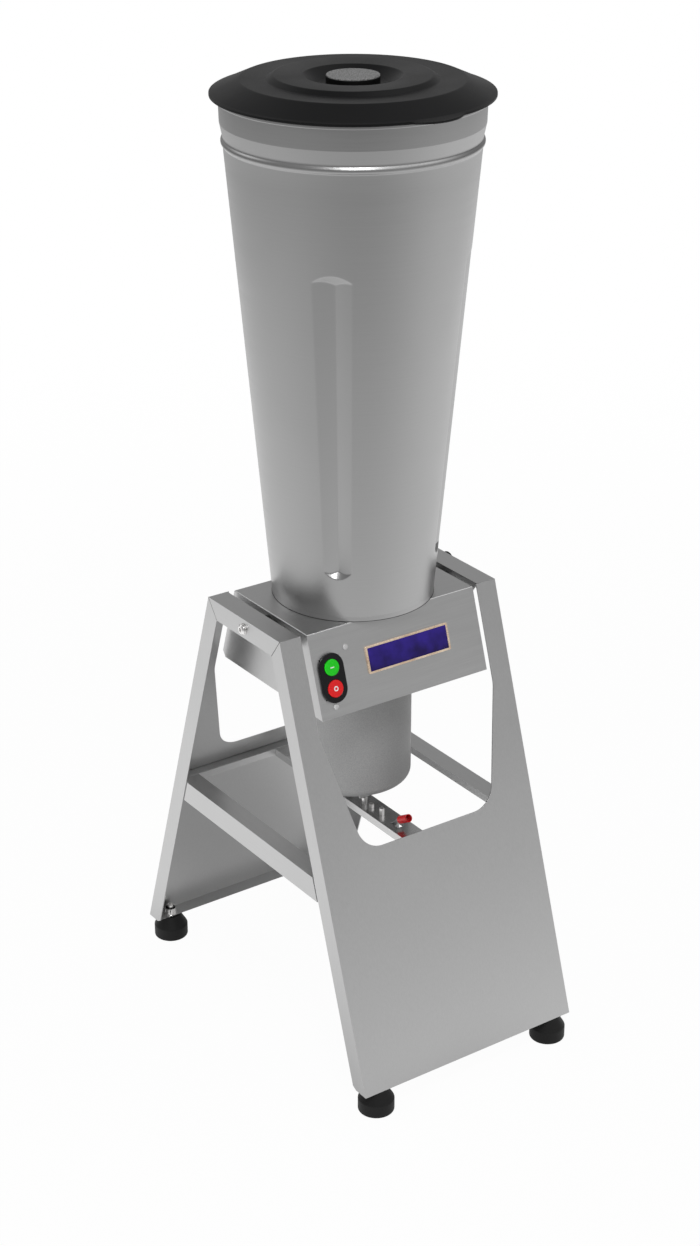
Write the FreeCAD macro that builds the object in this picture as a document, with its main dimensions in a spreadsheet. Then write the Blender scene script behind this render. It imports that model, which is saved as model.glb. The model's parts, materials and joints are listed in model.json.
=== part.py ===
import FreeCAD, Part
import Sketcher
import math
import os
import re

# Tilting floor-standing blender: a tall fluted steel jug on a boxed drive head,
# hung between the rails of an A-frame stand so that it tips forward to pour.
# Frame: X to the right seen from the front, the front and its buttons face -Y, Z up.
# The origin is on the floor, at the centre of the four feet. Millimetres.

os.makedirs("parts", exist_ok=True)
doc = FreeCAD.newDocument("tilting_blender")

# Driving dimensions
dimensions = {
    # stand
    "stand_width": 322, "stand_height": 580, "top_depth": 158.6, "base_depth": 514.7,
    "panel_foot_height": 32.6, "sheet_thickness": 1.5, "flange_width": 25,
    "foot_flange_width": 21, "flange_toe_rise": 3.5, "seam_gap": 0.3,
    "leg_width": 29.5, "cutout_knee_drop": 122, "cutout_floor_rise": 25,
    "cutout_floor_inset": 64.5, "cutout_corner_radius": 33, "cutout_knee_radius": 40,
    "rail_width": 27.5, "rail_drop": 25,
    # middle frame
    "frame_below_motor": 31.1, "member_width": 25, "member_drop": 30, "member_end_gap": 2.7,
    "inner_lip": 10, "cross_member_width": 14.8, "cross_member_drop": 22,
    "bar_width": 32, "bar_sheet": 2,
    # feet
    "foot_inset_x": 25.4, "foot_inset_y": 13.55, "foot_radius": 22.75,
    "foot_drum_height": 17.5, "foot_neck_radius": 13.7, "foot_edge": 1.6,
    "stud_radius": 4, "stud_sink": 14, "stud_stand_up": 14, "nut_radius": 7.6, "nut_height": 8,
    # pivots
    "pivot_drop": 13, "pivot_bolt_radius": 4, "pivot_head_radius": 6.6, "pivot_head_edge": 1.6,
    "pivot_head_dome": 2, "pivot_socket_radius": 2.9, "pivot_socket_depth": 2.2,
    "pivot_washer_radius": 7.2, "pivot_washer_thickness": 1.2, "pivot_spacer_radius": 6.5,
    "bush_sleeve_radius": 6, "bush_flange_radius": 8.5, "bush_flange_thickness": 2,
    "pivot_nut_radius": 7.5, "pivot_nut_height": 7, "thread_end": 3, "running_gap": 0.3,
    "bore_clearance": 0.05, "fit_clearance": 0.1,
    # cable grommet
    "grommet_offset": 25, "grommet_radius": 11.5, "grommet_neck_radius": 7.9,
    "grommet_bore_radius": 4.5, "grommet_length": 7.5, "grommet_rim": 6, "grommet_collar": 1.6,
    # head
    "head_side_gap": 9.5, "head_drop": 101.5, "front_proud": 2, "rear_inset": 1.6,
    "head_edge_radius": 1.5, "head_lip": 12, "head_rear_chamfer": 8,
    # motor
    "motor_radius": 74.3, "motor_wall": 2, "motor_length": 214.4, "motor_edge_radius": 11,
    "motor_floor": 3, "standoff_length": 32.5, "motor_plate_thickness": 10,
    "motor_plate_radius": 82, "motor_spigot": 6, "spigot_wall": 8, "plate_web": 9,
    "bearing_boss_wall": 6, "bearing_shelf": 2, "standoff_radius": 7, "standoff_circle": 70,
    "standoff_stud_radius": 4, "standoff_head_radius": 6.5, "standoff_head_height": 3.2,
    "vent_slot_width": 6, "vent_slot_inner": 32, "vent_slot_outer": 58,
    "upper_bearing_radius": 23.5, "upper_bearing_width": 14, "shaft_radius": 10,
    "lower_bearing_radius": 20, "lower_bearing_width": 12, "lower_shaft_radius": 8.5,
    "lower_bearing_rise": 8.4, "lower_boss_radius": 26,
    "core_drop": 56, "core_length": 85, "core_gap": 0.4, "stator_bore": 42, "air_gap": 0.6,
    "winding_length": 24, "winding_outer": 67, "winding_inner": 47,
    "fan_gap": 8, "fan_thickness": 16, "fan_radius": 60, "fan_hub_radius": 17, "fan_disc": 3,
    "fan_blade_thickness": 2.5,
    # coupling and hub
    "coupling_radius": 17, "coupling_gap": 2.5, "coupling_length": 23, "shaft_end_gap": 2,
    "blade_shaft_radius": 8,
    "head_hub_hole": 32, "hub_flange_radius": 48, "hub_flange_thickness": 5,
    "hub_neck_radius": 22, "hub_drop": 6, "hub_rise": 26, "hub_top_radius": 18,
    "hub_shoulder": 2, "hub_shoulder_rise": 3, "screw_seat_edge": 2,
    "hub_bearing_radius": 14, "hub_bearing_length": 24, "bearing_inset": 1, "seal_radius": 15.5,
    "seal_length": 8.2, "hub_mouth_radius": 10.5, "hub_screw_circle": 40, "hub_screw_radius": 3,
    "hub_screw_head": 5, "hub_screw_head_height": 3.5, "hub_nut_height": 5,
    # blades
    "blade_gap": 6, "blade_thickness": 3, "blade_width": 20, "blade_flat": 26,
    "blade_reach": 62, "blade_lift": 20, "blade_fall": 13, "blade_spigot": 6, "blade_nut_radius": 9,
    "blade_nut_height": 12, "blade_nut_end": 5.4, "blade_nut_cap": 2.5, "spigot_end_gap": 0.5,
    # jug
    "jug_base_radius": 100.2, "jug_base_height": 6, "jug_wall": 1.5, "base_disc_thickness": 2,
    "base_rim_width": 2.5, "jug_height": 605.5, "taper_top_radius": 148.65, "taper_top_drop": 55,
    "bead_bulge": 2.35, "bead_height": 9, "bead_flank": 2.7, "band_foot_radius": 149,
    "band_foot_rise": 2, "band_top_drop": 28.2, "collar_radius": 152.3, "collar_top_radius": 153,
    "jug_rim_radius": 155.5, "jug_rim_height": 3.5, "jug_rim_edge": 1,
    "flute_floor_above": 50.5, "flute_floor_rise": 9, "flute_foot_depth": 7.5,
    "flute_foot_half_width": 16.4, "flute_top_depth": 5.5, "flute_top_half_width": 23.5,
    "flute_top_below": 172.2, "flute_top_drop": 11, "flute_arch_rise": 8.8,
    "flute_floor_arch": 8.5, "flute_crease_shift": 3.2,
    # lid
    "lid_brim_radius": 163.2, "brim_lift": 1.5, "brim_thickness": 2.5,
    "brim_inner_radius": 160, "brim_inner_rise": 5, "brim_seat_radius": 157,
    "lid_shoulder_radius": 131.5, "lid_shoulder_rise": 17.5, "lid_ledge_radius": 129,
    "lid_ledge_rise": 18.5, "lid_step_radius": 98, "lid_step_rise": 17.9,
    "lid_crown_radius": 91, "lid_crown_rise": 23.1, "recess_radius": 57,
    "recess_rise": 22.3, "recess_floor_radius": 40, "recess_floor_rise": 11.5,
    "lid_thickness": 3, "lid_corner_shift": 1, "plug_radius": 149, "plug_depth": 12.5,
    "cap_hole_radius": 27.4, "gasket_width": 1.9, "gasket_height": 5, "gasket_drop": 8.5,
    "cap_radius": 31, "cap_plug_radius": 27, "cap_plug_length": 10, "cap_height": 9.3,
    "disc_radius": 30.6, "disc_thickness": 1.6, "disc_edge": 0.5,
    "tab_radius": 52.4, "tab_centre": 121.6, "tab_lift": 1.1, "tab_thickness": 2.4,
    # switch and nameplate
    "switch_inset": 24.3, "switch_drop": 58.5, "switch_width": 34.5, "switch_height": 61.5,
    "switch_plate_thickness": 3.4, "button_spacing": 26.2, "green_radius": 10.2,
    "red_radius": 10.7, "button_stand_out": 4.4, "button_tail": 2.5, "button_clearance": 0.3,
    "button_pocket_depth": 6.5, "button_edge": 0.6, "corner_gap": 0.1,
    "block_width": 28, "block_height": 50, "block_depth": 32, "block_clearance": 0.5,
    "face_screw_radius": 3.7, "face_screw_height": 2.2, "face_screw_edge": 0.9,
    "face_screw_crown": 2.2, "face_screw_shank": 2, "face_screw_shank_length": 8,
    "upper_screw_inset": 49.7, "upper_screw_drop": 26.7,
    "lower_screw_inset": 22.5, "lower_screw_drop": 93.8,
    "nameplate_width": 123, "nameplate_height": 34, "nameplate_centre": 13.9,
    "nameplate_drop": 50.8, "nameplate_thickness": 1.2, "nameplate_border": 2,
    "nameplate_border_rise": 0.8, "nameplate_corner_radius": 2,
    # tilt lock
    "lock_line": -1.5, "pin_offset_x": -3.5, "pin_offset_y": 31, "pin_radius": 4,
    "pin_rise": 10.7, "pin_dome": 1.5, "lock_screw_x": -2, "lock_screw_radius": 2.5,
    "lock_screw_first": 44.5, "lock_screw_second": 67, "lock_head_radius": 3.6,
    "lock_head_first": 5, "lock_head_second": 9, "bracket_half_width": 7, "bracket_cheek": 3,
    "bracket_web": 3, "bracket_rear": 20, "bracket_web_front": 80, "bracket_cheek_rear": 66,
    "bracket_cheek_front": 94, "bracket_drop": 16.5, "fulcrum_y": 88, "fulcrum_drop": 10.5,
    "fulcrum_radius": 2, "fulcrum_head_radius": 3.2, "fulcrum_head_height": 1.2,
    "lever_eye_radius": 4, "lever_half_width": 2.5, "lever_half_thickness": 1.8,
    "lever_tip_drop": 19.7, "grip_rear_y": 104.7, "grip_rear_rise": 9.3,
    "grip_angle": 30.5, "grip_length": 22, "grip_radius": 5.25, "grip_mouth": 9,
    "grip_mouth_radius": 4, "grip_edge": 1, "lever_rod_radius": 2.5,
    "slot_half_width": 4.5, "slot_rear": 90.8, "slot_front": 107,
    "catch_width": 24, "catch_gap": 9.2, "catch_wall": 3, "catch_lift": 13.3,
    "catch_plate": 2, "catch_plate_half": 13,
}
sheet = doc.addObject("Spreadsheet::Sheet", "sizes")
for row, (alias, value) in enumerate(dimensions.items(), start=1):
    sheet.set(f"A{row}", alias)
    sheet.set(f"B{row}", str(value))
    sheet.setAlias(f"B{row}", alias)
doc.recompute()

# Places that follow from the driving dimensions
derived = {
    "head_width": "stand_width - 2 * rail_width - 2 * head_side_gap",
    "switch_offset": "head_width / 2 - switch_inset",
    "upper_screw_offset": "head_width / 2 - upper_screw_inset",
    "lower_screw_offset": "head_width / 2 - lower_screw_inset",
    "motor_plate_height":
        "stand_height - sheet_thickness - standoff_length - motor_plate_thickness",
    "motor_bottom": "motor_plate_height - motor_length",
    "lower_bearing_height": "motor_bottom + lower_bearing_rise",
    "fan_height": "lower_bearing_height + lower_bearing_width + fan_gap",
    "core_height": "motor_plate_height - core_drop - core_length",
    "frame_height": "motor_bottom - frame_below_motor",
    "cutout_knee_height": "stand_height - cutout_knee_drop",
    "cutout_floor_height": "frame_height + cutout_floor_rise",
    "cutout_floor_half_width": "stand_width / 2 - cutout_floor_inset",
    "catch_foot_height": "frame_height + catch_lift",
    "foot_spacing_x": "stand_width - 2 * foot_inset_x",
    "foot_spacing_y": "base_depth - 2 * foot_inset_y",
    "coupling_height": "motor_plate_height + motor_plate_thickness + coupling_gap",
    "motor_shaft_top": "coupling_height + coupling_length / 2 - shaft_end_gap / 2",
    "blade_shaft_bottom": "coupling_height + coupling_length / 2 + shaft_end_gap / 2",
    "jug_floor_height": "stand_height + jug_base_height",
    "hub_bottom": "stand_height - hub_drop",
    "hub_top": "jug_floor_height + hub_rise",
    "hub_bearing_top": "hub_bottom + bearing_inset + hub_bearing_length",
    "seal_top": "hub_bearing_top + seal_length",
    "blade_height": "hub_top + blade_gap",
    "jug_top_height": "jug_floor_height + jug_height",
    "taper_top_height": "jug_top_height - taper_top_drop",
    "band_top_height": "jug_top_height - band_top_drop",
    "flute_floor_height": "jug_floor_height + flute_floor_above",
    "flute_top_height": "jug_top_height - flute_top_below",
    "brim_foot_height": "jug_top_height + brim_lift",
    "brim_edge_height": "brim_foot_height + brim_thickness",
    "brim_inner_height": "jug_top_height + brim_inner_rise",
    "lid_shoulder_height": "jug_top_height + lid_shoulder_rise",
    "lid_ledge_height": "jug_top_height + lid_ledge_rise",
    "lid_step_height": "jug_top_height + lid_step_rise",
    "lid_crown_height": "jug_top_height + lid_crown_rise",
    "recess_height": "jug_top_height + recess_rise",
    "recess_floor_height": "jug_top_height + recess_floor_rise",
    "plug_bottom_height": "jug_top_height - plug_depth",
    "gasket_foot_height": "jug_top_height - gasket_drop",
    "cap_top_height": "recess_floor_height + running_gap + cap_height",
    "tab_bottom_height": "jug_top_height + tab_lift",
    "tab_top_height": "tab_bottom_height + tab_thickness",
}


# A size in a formula is written by its name; fx turns the name into a reference to its cell
def fx(formula):
    def reference(word):
        name = word.group(0)
        return f"({fx(derived[name])})" if name in derived else "sizes." + name
    return re.sub(r"\b[a-z]+(?:_[a-z0-9]+)+\b", reference, str(formula))


def number(formula):
    value = sheet.evalExpression(fx(formula))
    return float(getattr(value, "Value", value))


# Helpers: sketches and features of one body
def new_body(label):
    owner = doc.addObject("PartDesign::Body", label)
    owner.Label = label
    return owner


def new_sketch(owner, role, offset="0"):
    sketch = owner.newObject("Sketcher::SketchObject", owner.Name + "_sketch")
    plane = next(item for item in owner.Origin.OriginFeatures if item.Role == role)
    sketch.AttachmentSupport = [(plane, "")]
    sketch.MapMode = "FlatFace"
    sketch.setExpression("AttachmentOffset.Base.z", fx(offset))
    return sketch


def bind_point(sketch, geometry, position, x, y):
    for kind, formula in (("DistanceX", x), ("DistanceY", y)):
        rule = Sketcher.Constraint(kind, -1, 1, geometry, position, number(formula))
        sketch.addConstraint(rule)
        sketch.setExpression(f"Constraints[{sketch.ConstraintCount - 1}]", fx(formula))


def polygon(sketch, corners):
    spots = [FreeCAD.Vector(number(x), number(y), 0) for x, y in corners]
    first = sketch.GeometryCount
    count = len(corners)
    for index in range(count):
        sketch.addGeometry(Part.LineSegment(spots[index], spots[(index + 1) % count]), False)
    for index in range(count):
        after = first + (index + 1) % count
        sketch.addConstraint(Sketcher.Constraint("Coincident", first + index, 2, after, 1))
    for index, (x, y) in enumerate(corners):
        bind_point(sketch, first + index, 1, x, y)
    return sketch


def rectangle(sketch, left, bottom, right, top):
    return polygon(sketch, [(left, bottom), (right, bottom), (right, top), (left, top)])


def circle(sketch, x, y, radius):
    centre = FreeCAD.Vector(number(x), number(y), 0)
    ring = Part.Circle(centre, FreeCAD.Vector(0, 0, 1), number(radius))
    index = sketch.addGeometry(ring, False)
    bind_point(sketch, index, 3, x, y)
    sketch.addConstraint(Sketcher.Constraint("Radius", index, number(radius)))
    sketch.setExpression(f"Constraints[{sketch.ConstraintCount - 1}]", fx(radius))
    return sketch


def pad(owner, sketch, length, both_ways=False, backwards=False):
    feature = owner.newObject("PartDesign::Pad", owner.Name + "_pad")
    feature.Profile = sketch
    feature.SideType = "Symmetric" if both_ways else "One side"
    feature.Reversed = backwards
    feature.setExpression("Length", fx(length))
    doc.recompute()
    return feature


def pocket(owner, sketch, length, both_ways=False, backwards=False):
    before = owner.Shape.Volume
    feature = owner.newObject("PartDesign::Pocket", owner.Name + "_pocket")
    feature.Profile = sketch
    feature.SideType = "Symmetric" if both_ways else "One side"
    feature.Reversed = backwards
    feature.setExpression("Length", fx(length))
    doc.recompute()
    if not owner.Shape.Volume < before:
        raise RuntimeError(f"{owner.Label}: {feature.Name} takes nothing away")
    return feature


def turned(owner, corners, role="XZ_Plane", angle=360):
    sketch = polygon(new_sketch(owner, role), corners)
    feature = owner.newObject("PartDesign::Revolution", owner.Name + "_turn")
    feature.Profile = sketch
    feature.ReferenceAxis = (sketch, ["V_Axis"])
    feature.Angle = angle
    doc.recompute()
    return owner


def round_edges(owner, radius, wanted, kind="PartDesign::Fillet"):
    tip = owner.Tip
    names = [f"Edge{place}" for place, edge in enumerate(tip.Shape.Edges, start=1) if wanted(edge)]
    if not names:
        raise RuntimeError(f"{owner.Label}: no edge to round")
    feature = owner.newObject(kind, owner.Name + "_edge")
    feature.Base = (tip, names)
    feature.setExpression("Size" if kind.endswith("Chamfer") else "Radius", fx(radius))
    doc.recompute()
    return feature


tolerance = 0.02


def stands_at(edge, **spot):
    return all(
        abs(getattr(corner.Point, axis) - value) < tolerance
        for corner in edge.Vertexes for axis, value in spot.items())


def is_ring(edge, radius, height):
    curve = edge.Curve
    return (isinstance(curve, Part.Circle) and abs(curve.Radius - radius) < tolerance
            and abs(curve.Center.z - height) < tolerance)


def around(owner, feature, count, angle=360):
    ring = owner.newObject("PartDesign::PolarPattern", owner.Name + "_ring")
    ring.Originals = [feature]
    axis = next(item for item in owner.Origin.OriginFeatures if item.Role == "Z_Axis")
    ring.Axis = (axis, [""])
    ring.Angle = angle
    ring.Occurrences = count
    owner.Tip = ring
    doc.recompute()
    return ring


# Helpers: primitives, for fasteners that come in sets
def put(item, x, y, z):
    for axis, formula in zip("xyz", (x, y, z)):
        item.setExpression(f"Placement.Base.{axis}", fx(formula))
    return item


def turn_to(item, direction):
    axes = {"X": ((0, 1, 0), 90), "-X": ((0, 1, 0), -90), "Y": ((1, 0, 0), -90), "Z": ((0, 0, 1), 0)}
    axis, angle = axes[direction]
    item.Placement = FreeCAD.Placement(
        FreeCAD.Vector(0, 0, 0), FreeCAD.Rotation(FreeCAD.Vector(*axis), angle))


def rod(name, radius, length, x, y, z, direction="Z"):
    item = doc.addObject("Part::Cylinder", name)
    item.setExpression("Radius", fx(radius))
    item.setExpression("Height", fx(length))
    turn_to(item, direction)
    return put(item, x, y, z)


def cone(name, near_radius, far_radius, length, x, y, z, direction="Z"):
    item = doc.addObject("Part::Cone", name)
    item.setExpression("Radius1", fx(near_radius))
    item.setExpression("Radius2", fx(far_radius))
    item.setExpression("Height", fx(length))
    turn_to(item, direction)
    return put(item, x, y, z)


def hexagon(name, radius, length, x, y, z, direction="Z"):
    item = doc.addObject("Part::Prism", name)
    item.Polygon = 6
    item.setExpression("Circumradius", fx(radius))
    item.setExpression("Height", fx(length))
    turn_to(item, direction)
    return put(item, x, y, z)


def fuse(name, pieces):
    item = doc.addObject("Part::MultiFuse", name)
    item.Shapes = pieces
    return item


def cut(name, base, tool):
    item = doc.addObject("Part::Cut", name)
    item.Base = base
    item.Tool = tool
    return item


def group(label, pieces):
    item = doc.addObject("Part::Compound", label)
    item.Links = pieces
    item.Label = label
    return item


nodes = []


def keep(item):
    nodes.append(item)
    return item


half_turn = FreeCAD.Placement(FreeCAD.Vector(0, 0, 0), FreeCAD.Rotation(FreeCAD.Vector(0, 0, 1), 180))

# Lines that the pieces share
slope = "((base_depth - top_depth) / 2 / (stand_height - panel_foot_height))"
stretch = f"sqrt(1 + {slope}^2)"
half_width = "(stand_width / 2)"
inner_width = "(stand_width - 2 * sheet_thickness)"
leg_inner = "(stand_width / 2 - leg_width)"
pivot_height = "(stand_height - pivot_drop)"
beyond = "5"


def outer_face(height):
    return f"(top_depth / 2 + (stand_height - ({height})) * {slope})"


def inner_face(height):
    return f"({outer_face(height)} - sheet_thickness * {stretch})"


def flange_edge(height):
    return f"({outer_face(height)} - flange_width * {stretch})"


mitre_height = "(stand_height - rail_drop)"
window_edge = f"({inner_face('frame_height')} - cross_member_width)"
lean = math.degrees(math.atan(number(slope)))


# Stand: two folded A-frame panels, each a leaning sheet with side and foot flanges
def stand_panel(label):
    owner = new_body(label)
    toe = "(panel_foot_height + flange_toe_rise)"
    profile = polygon(new_sketch(owner, "YZ_Plane"), [
        (f"-{outer_face('panel_foot_height')}", "panel_foot_height"),
        (f"-({outer_face('panel_foot_height')} - foot_flange_width)", "panel_foot_height"),
        (f"-{flange_edge(toe)}", toe),
        (f"-{flange_edge(mitre_height)}", mitre_height),
        ("-top_depth / 2", "stand_height"),
    ])
    pad(owner, profile, "stand_width", both_ways=True)
    floor = "(panel_foot_height + sheet_thickness)"
    above = f"(stand_height + {beyond})"
    hollow = polygon(new_sketch(owner, "YZ_Plane"), [
        (f"-{inner_face(floor)}", floor),
        ("0", floor),
        ("0", above),
        (f"-{inner_face(above)}", above),
    ])
    pocket(owner, hollow, inner_width, both_ways=True)
    holes = new_sketch(owner, "XY_Plane", "panel_foot_height")
    for side in ("-", ""):
        circle(holes, f"{side}foot_spacing_x / 2", "-foot_spacing_y / 2", "stud_radius + fit_clearance")
    pocket(owner, holes, "3 * sheet_thickness", backwards=True)
    window = new_body(label + "_window")
    outline = polygon(new_sketch(window, "XZ_Plane"), [
        (f"-{leg_inner}", above),
        (f"-{leg_inner}", "cutout_knee_height"),
        ("-cutout_floor_half_width", "cutout_floor_height"),
        ("cutout_floor_half_width", "cutout_floor_height"),
        (leg_inner, "cutout_knee_height"),
        (leg_inner, above),
    ])
    pad(window, outline, "base_depth")
    for radius, x, z in (
            ("cutout_corner_radius", "cutout_floor_half_width", "cutout_floor_height"),
            ("cutout_knee_radius", leg_inner, "cutout_knee_height")):
        round_edges(window, radius, lambda edge: any(
            stands_at(edge, x=side * number(x), z=number(z)) for side in (-1, 1)))
    owner.Label = label + "_sheet"
    panel = cut(label + "_piece", owner, window)
    panel.Label = label
    return keep(panel)


stand_panel("front_panel")
stand_panel("rear_panel").Placement = half_turn


# Rails: folded channels along the top, mitred to the leg flanges; the pivots pass through them
def rail(label, holes):
    owner = new_body(label)
    inner_x = "(stand_width / 2 - rail_width)"
    mitre = f"({flange_edge(mitre_height)} - seam_gap)"
    profile = polygon(new_sketch(owner, "YZ_Plane", inner_x), [
        ("-(top_depth / 2 - seam_gap)", "stand_height"),
        (f"-{mitre}", mitre_height),
        (mitre, mitre_height),
        ("top_depth / 2 - seam_gap", "stand_height"),
    ])
    pad(owner, profile, "rail_width")
    under = rectangle(
        new_sketch(owner, "YZ_Plane", f"{inner_x} + sheet_thickness"),
        "-top_depth", f"{mitre_height} - {beyond}", "top_depth", "stand_height - sheet_thickness")
    pocket(owner, under, "rail_width - 2 * sheet_thickness", backwards=True)
    bores = new_sketch(owner, "YZ_Plane", f"{half_width} - 2 * sheet_thickness")
    for y, z, radius in holes:
        circle(bores, y, z, radius)
    pocket(owner, bores, "3 * sheet_thickness", backwards=True)
    inner_bore = new_sketch(owner, "YZ_Plane", f"{inner_x} - sheet_thickness")
    circle(inner_bore, *pivot_bore)
    pocket(owner, inner_bore, "3 * sheet_thickness", backwards=True)
    return keep(owner)


pivot_bore = ("0", pivot_height, "pivot_bolt_radius + fit_clearance")
grommet_bore = ("grommet_offset", pivot_height, "grommet_neck_radius + fit_clearance")
rail("left_rail", [pivot_bore]).Placement = half_turn
rail("right_rail", [pivot_bore, grommet_bore])


# Middle frame: two folded side members, two cross members and the lock bar between them
def side_member(label):
    owner = new_body(label)
    low = "(frame_height - member_drop)"
    inner_x = f"({half_width} - member_width)"
    outline = polygon(new_sketch(owner, "YZ_Plane", inner_x), [
        (f"-({flange_edge('frame_height')} - member_end_gap)", "frame_height"),
        (f"-({flange_edge(low)} - member_end_gap)", low),
        (f"{flange_edge(low)} - member_end_gap", low),
        (f"{flange_edge('frame_height')} - member_end_gap", "frame_height"),
    ])
    pad(owner, outline, "member_width")
    lip_foot = "frame_height - inner_lip"
    under = "frame_height - sheet_thickness"
    hollow = polygon(new_sketch(owner, "XZ_Plane"), [
        (f"{inner_x} - {beyond}", f"{low} - {beyond}"),
        (f"{half_width} - sheet_thickness", f"{low} - {beyond}"),
        (f"{half_width} - sheet_thickness", under),
        (f"{inner_x} + sheet_thickness", under),
        (f"{inner_x} + sheet_thickness", lip_foot),
        (f"{inner_x} - {beyond}", lip_foot),
    ])
    pocket(owner, hollow, "base_depth", both_ways=True)
    tongue = f"({window_edge} - seam_gap)"
    tongues = rectangle(
        new_sketch(owner, "XY_Plane", under),
        inner_x, f"-{tongue}", f"{half_width} - sheet_thickness - seam_gap", tongue)
    pad(owner, tongues, "sheet_thickness")
    return keep(owner)


side_member("left_side_member").Placement = half_turn
side_member("right_side_member")


def cross_member(label):
    owner = new_body(label)
    low = "(frame_height - cross_member_drop)"
    under = "(frame_height - sheet_thickness)"
    lip_foot = "(frame_height - inner_lip)"
    section = polygon(new_sketch(owner, "YZ_Plane"), [
        (f"-{window_edge}", "frame_height"),
        (f"-{window_edge}", lip_foot),
        (f"-({window_edge} + sheet_thickness)", lip_foot),
        (f"-({window_edge} + sheet_thickness)", under),
        (f"-({inner_face(under)} - seam_gap - sheet_thickness * {stretch})", under),
        (f"-({inner_face(low)} - seam_gap - sheet_thickness * {stretch})", low),
        (f"-({inner_face(low)} - seam_gap)", low),
        (f"-({inner_face('frame_height')} - seam_gap)", "frame_height"),
    ])
    pad(owner, section, f"{inner_width} - 2 * seam_gap", both_ways=True)
    return keep(owner)


cross_member("front_cross_member")
cross_member("rear_cross_member").Placement = half_turn

# Lock bar: a channel along the middle, with the latch pin's hole and the lever's slot
lock_bar = new_body("lock_bar")
bar_under = "(frame_height - bar_sheet)"
pin_x = "pin_offset_x"
pin_y = "-pin_offset_y"
fulcrum_z = "(frame_height - fulcrum_drop)"
bar_side = "(bar_width / 2)"
bar_section = polygon(new_sketch(lock_bar, "XZ_Plane"), [
    (f"-{bar_side}", "frame_height"),
    (f"-{bar_side}", "frame_height - inner_lip"),
    (f"-({bar_side} - bar_sheet)", "frame_height - inner_lip"),
    (f"-({bar_side} - bar_sheet)", bar_under),
    (f"{bar_side} - bar_sheet", bar_under),
    (f"{bar_side} - bar_sheet", "frame_height - inner_lip"),
    (bar_side, "frame_height - inner_lip"),
    (bar_side, "frame_height"),
])
pad(lock_bar, bar_section, f"2 * ({window_edge} - seam_gap)", both_ways=True)
bar_holes = new_sketch(lock_bar, "XY_Plane", "frame_height")
circle(bar_holes, pin_x, pin_y, "pin_radius + fit_clearance")
for screw_place in ("lock_screw_first", "lock_screw_second"):
    circle(bar_holes, "lock_screw_x", f"-{screw_place}", "lock_screw_radius + fit_clearance")
rectangle(
    bar_holes, "lock_line - slot_half_width", "-slot_front", "lock_line + slot_half_width",
    "-slot_rear")
pocket(lock_bar, bar_holes, "2 * bar_sheet")
keep(lock_bar)


# Feet: moulded rubber on a stud that a nut clamps to the foot flange
def foot(label, x, y):
    owner = new_body(label)
    stud_hole = "stud_radius + fit_clearance"
    turned(owner, [
        ("0", "0"),
        ("foot_radius - foot_edge", "0"),
        ("foot_radius", "foot_edge"),
        ("foot_radius", "foot_drum_height"),
        ("foot_neck_radius", "panel_foot_height"),
        (stud_hole, "panel_foot_height"),
        (stud_hole, "panel_foot_height - stud_sink"),
        ("0", "panel_foot_height - stud_sink"),
    ])
    put(owner, x, y, "0")
    return keep(owner)


foot_places = {
    "front_left": ("-foot_spacing_x / 2", "-foot_spacing_y / 2"),
    "front_right": ("foot_spacing_x / 2", "-foot_spacing_y / 2"),
    "rear_left": ("-foot_spacing_x / 2", "foot_spacing_y / 2"),
    "rear_right": ("foot_spacing_x / 2", "foot_spacing_y / 2"),
}
studs = []
nuts = []
for corner_name, (foot_x, foot_y) in foot_places.items():
    foot(f"foot_{corner_name}", foot_x, foot_y)
    studs.append(rod(
        f"stud_{corner_name}", "stud_radius", "stud_sink + stud_stand_up",
        foot_x, foot_y, "panel_foot_height - stud_sink"))
    seat = "panel_foot_height + sheet_thickness"
    blank = hexagon(f"nut_blank_{corner_name}", "nut_radius", "nut_height", foot_x, foot_y, seat)
    bore = rod(
        f"nut_bore_{corner_name}", "stud_radius + bore_clearance", "nut_height",
        foot_x, foot_y, seat)
    nuts.append(cut(f"nut_{corner_name}", blank, bore))
keep(group("foot_studs", studs))
keep(group("foot_nuts", nuts))

# Pivots: a bolt through each rail, a spacer, and a flanged bush in the head's side wall
head_side = "(head_width / 2)"
bolts = []
washers = []
spacers = []
pivot_nuts = []
bushes = []


def tube(name, outer, inner, length, x, y, z, direction):
    solid = rod(name + "_solid", outer, length, x, y, z, direction)
    hollow = rod(name + "_hollow", inner, length, x, y, z, direction)
    return cut(name, solid, hollow)


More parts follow.
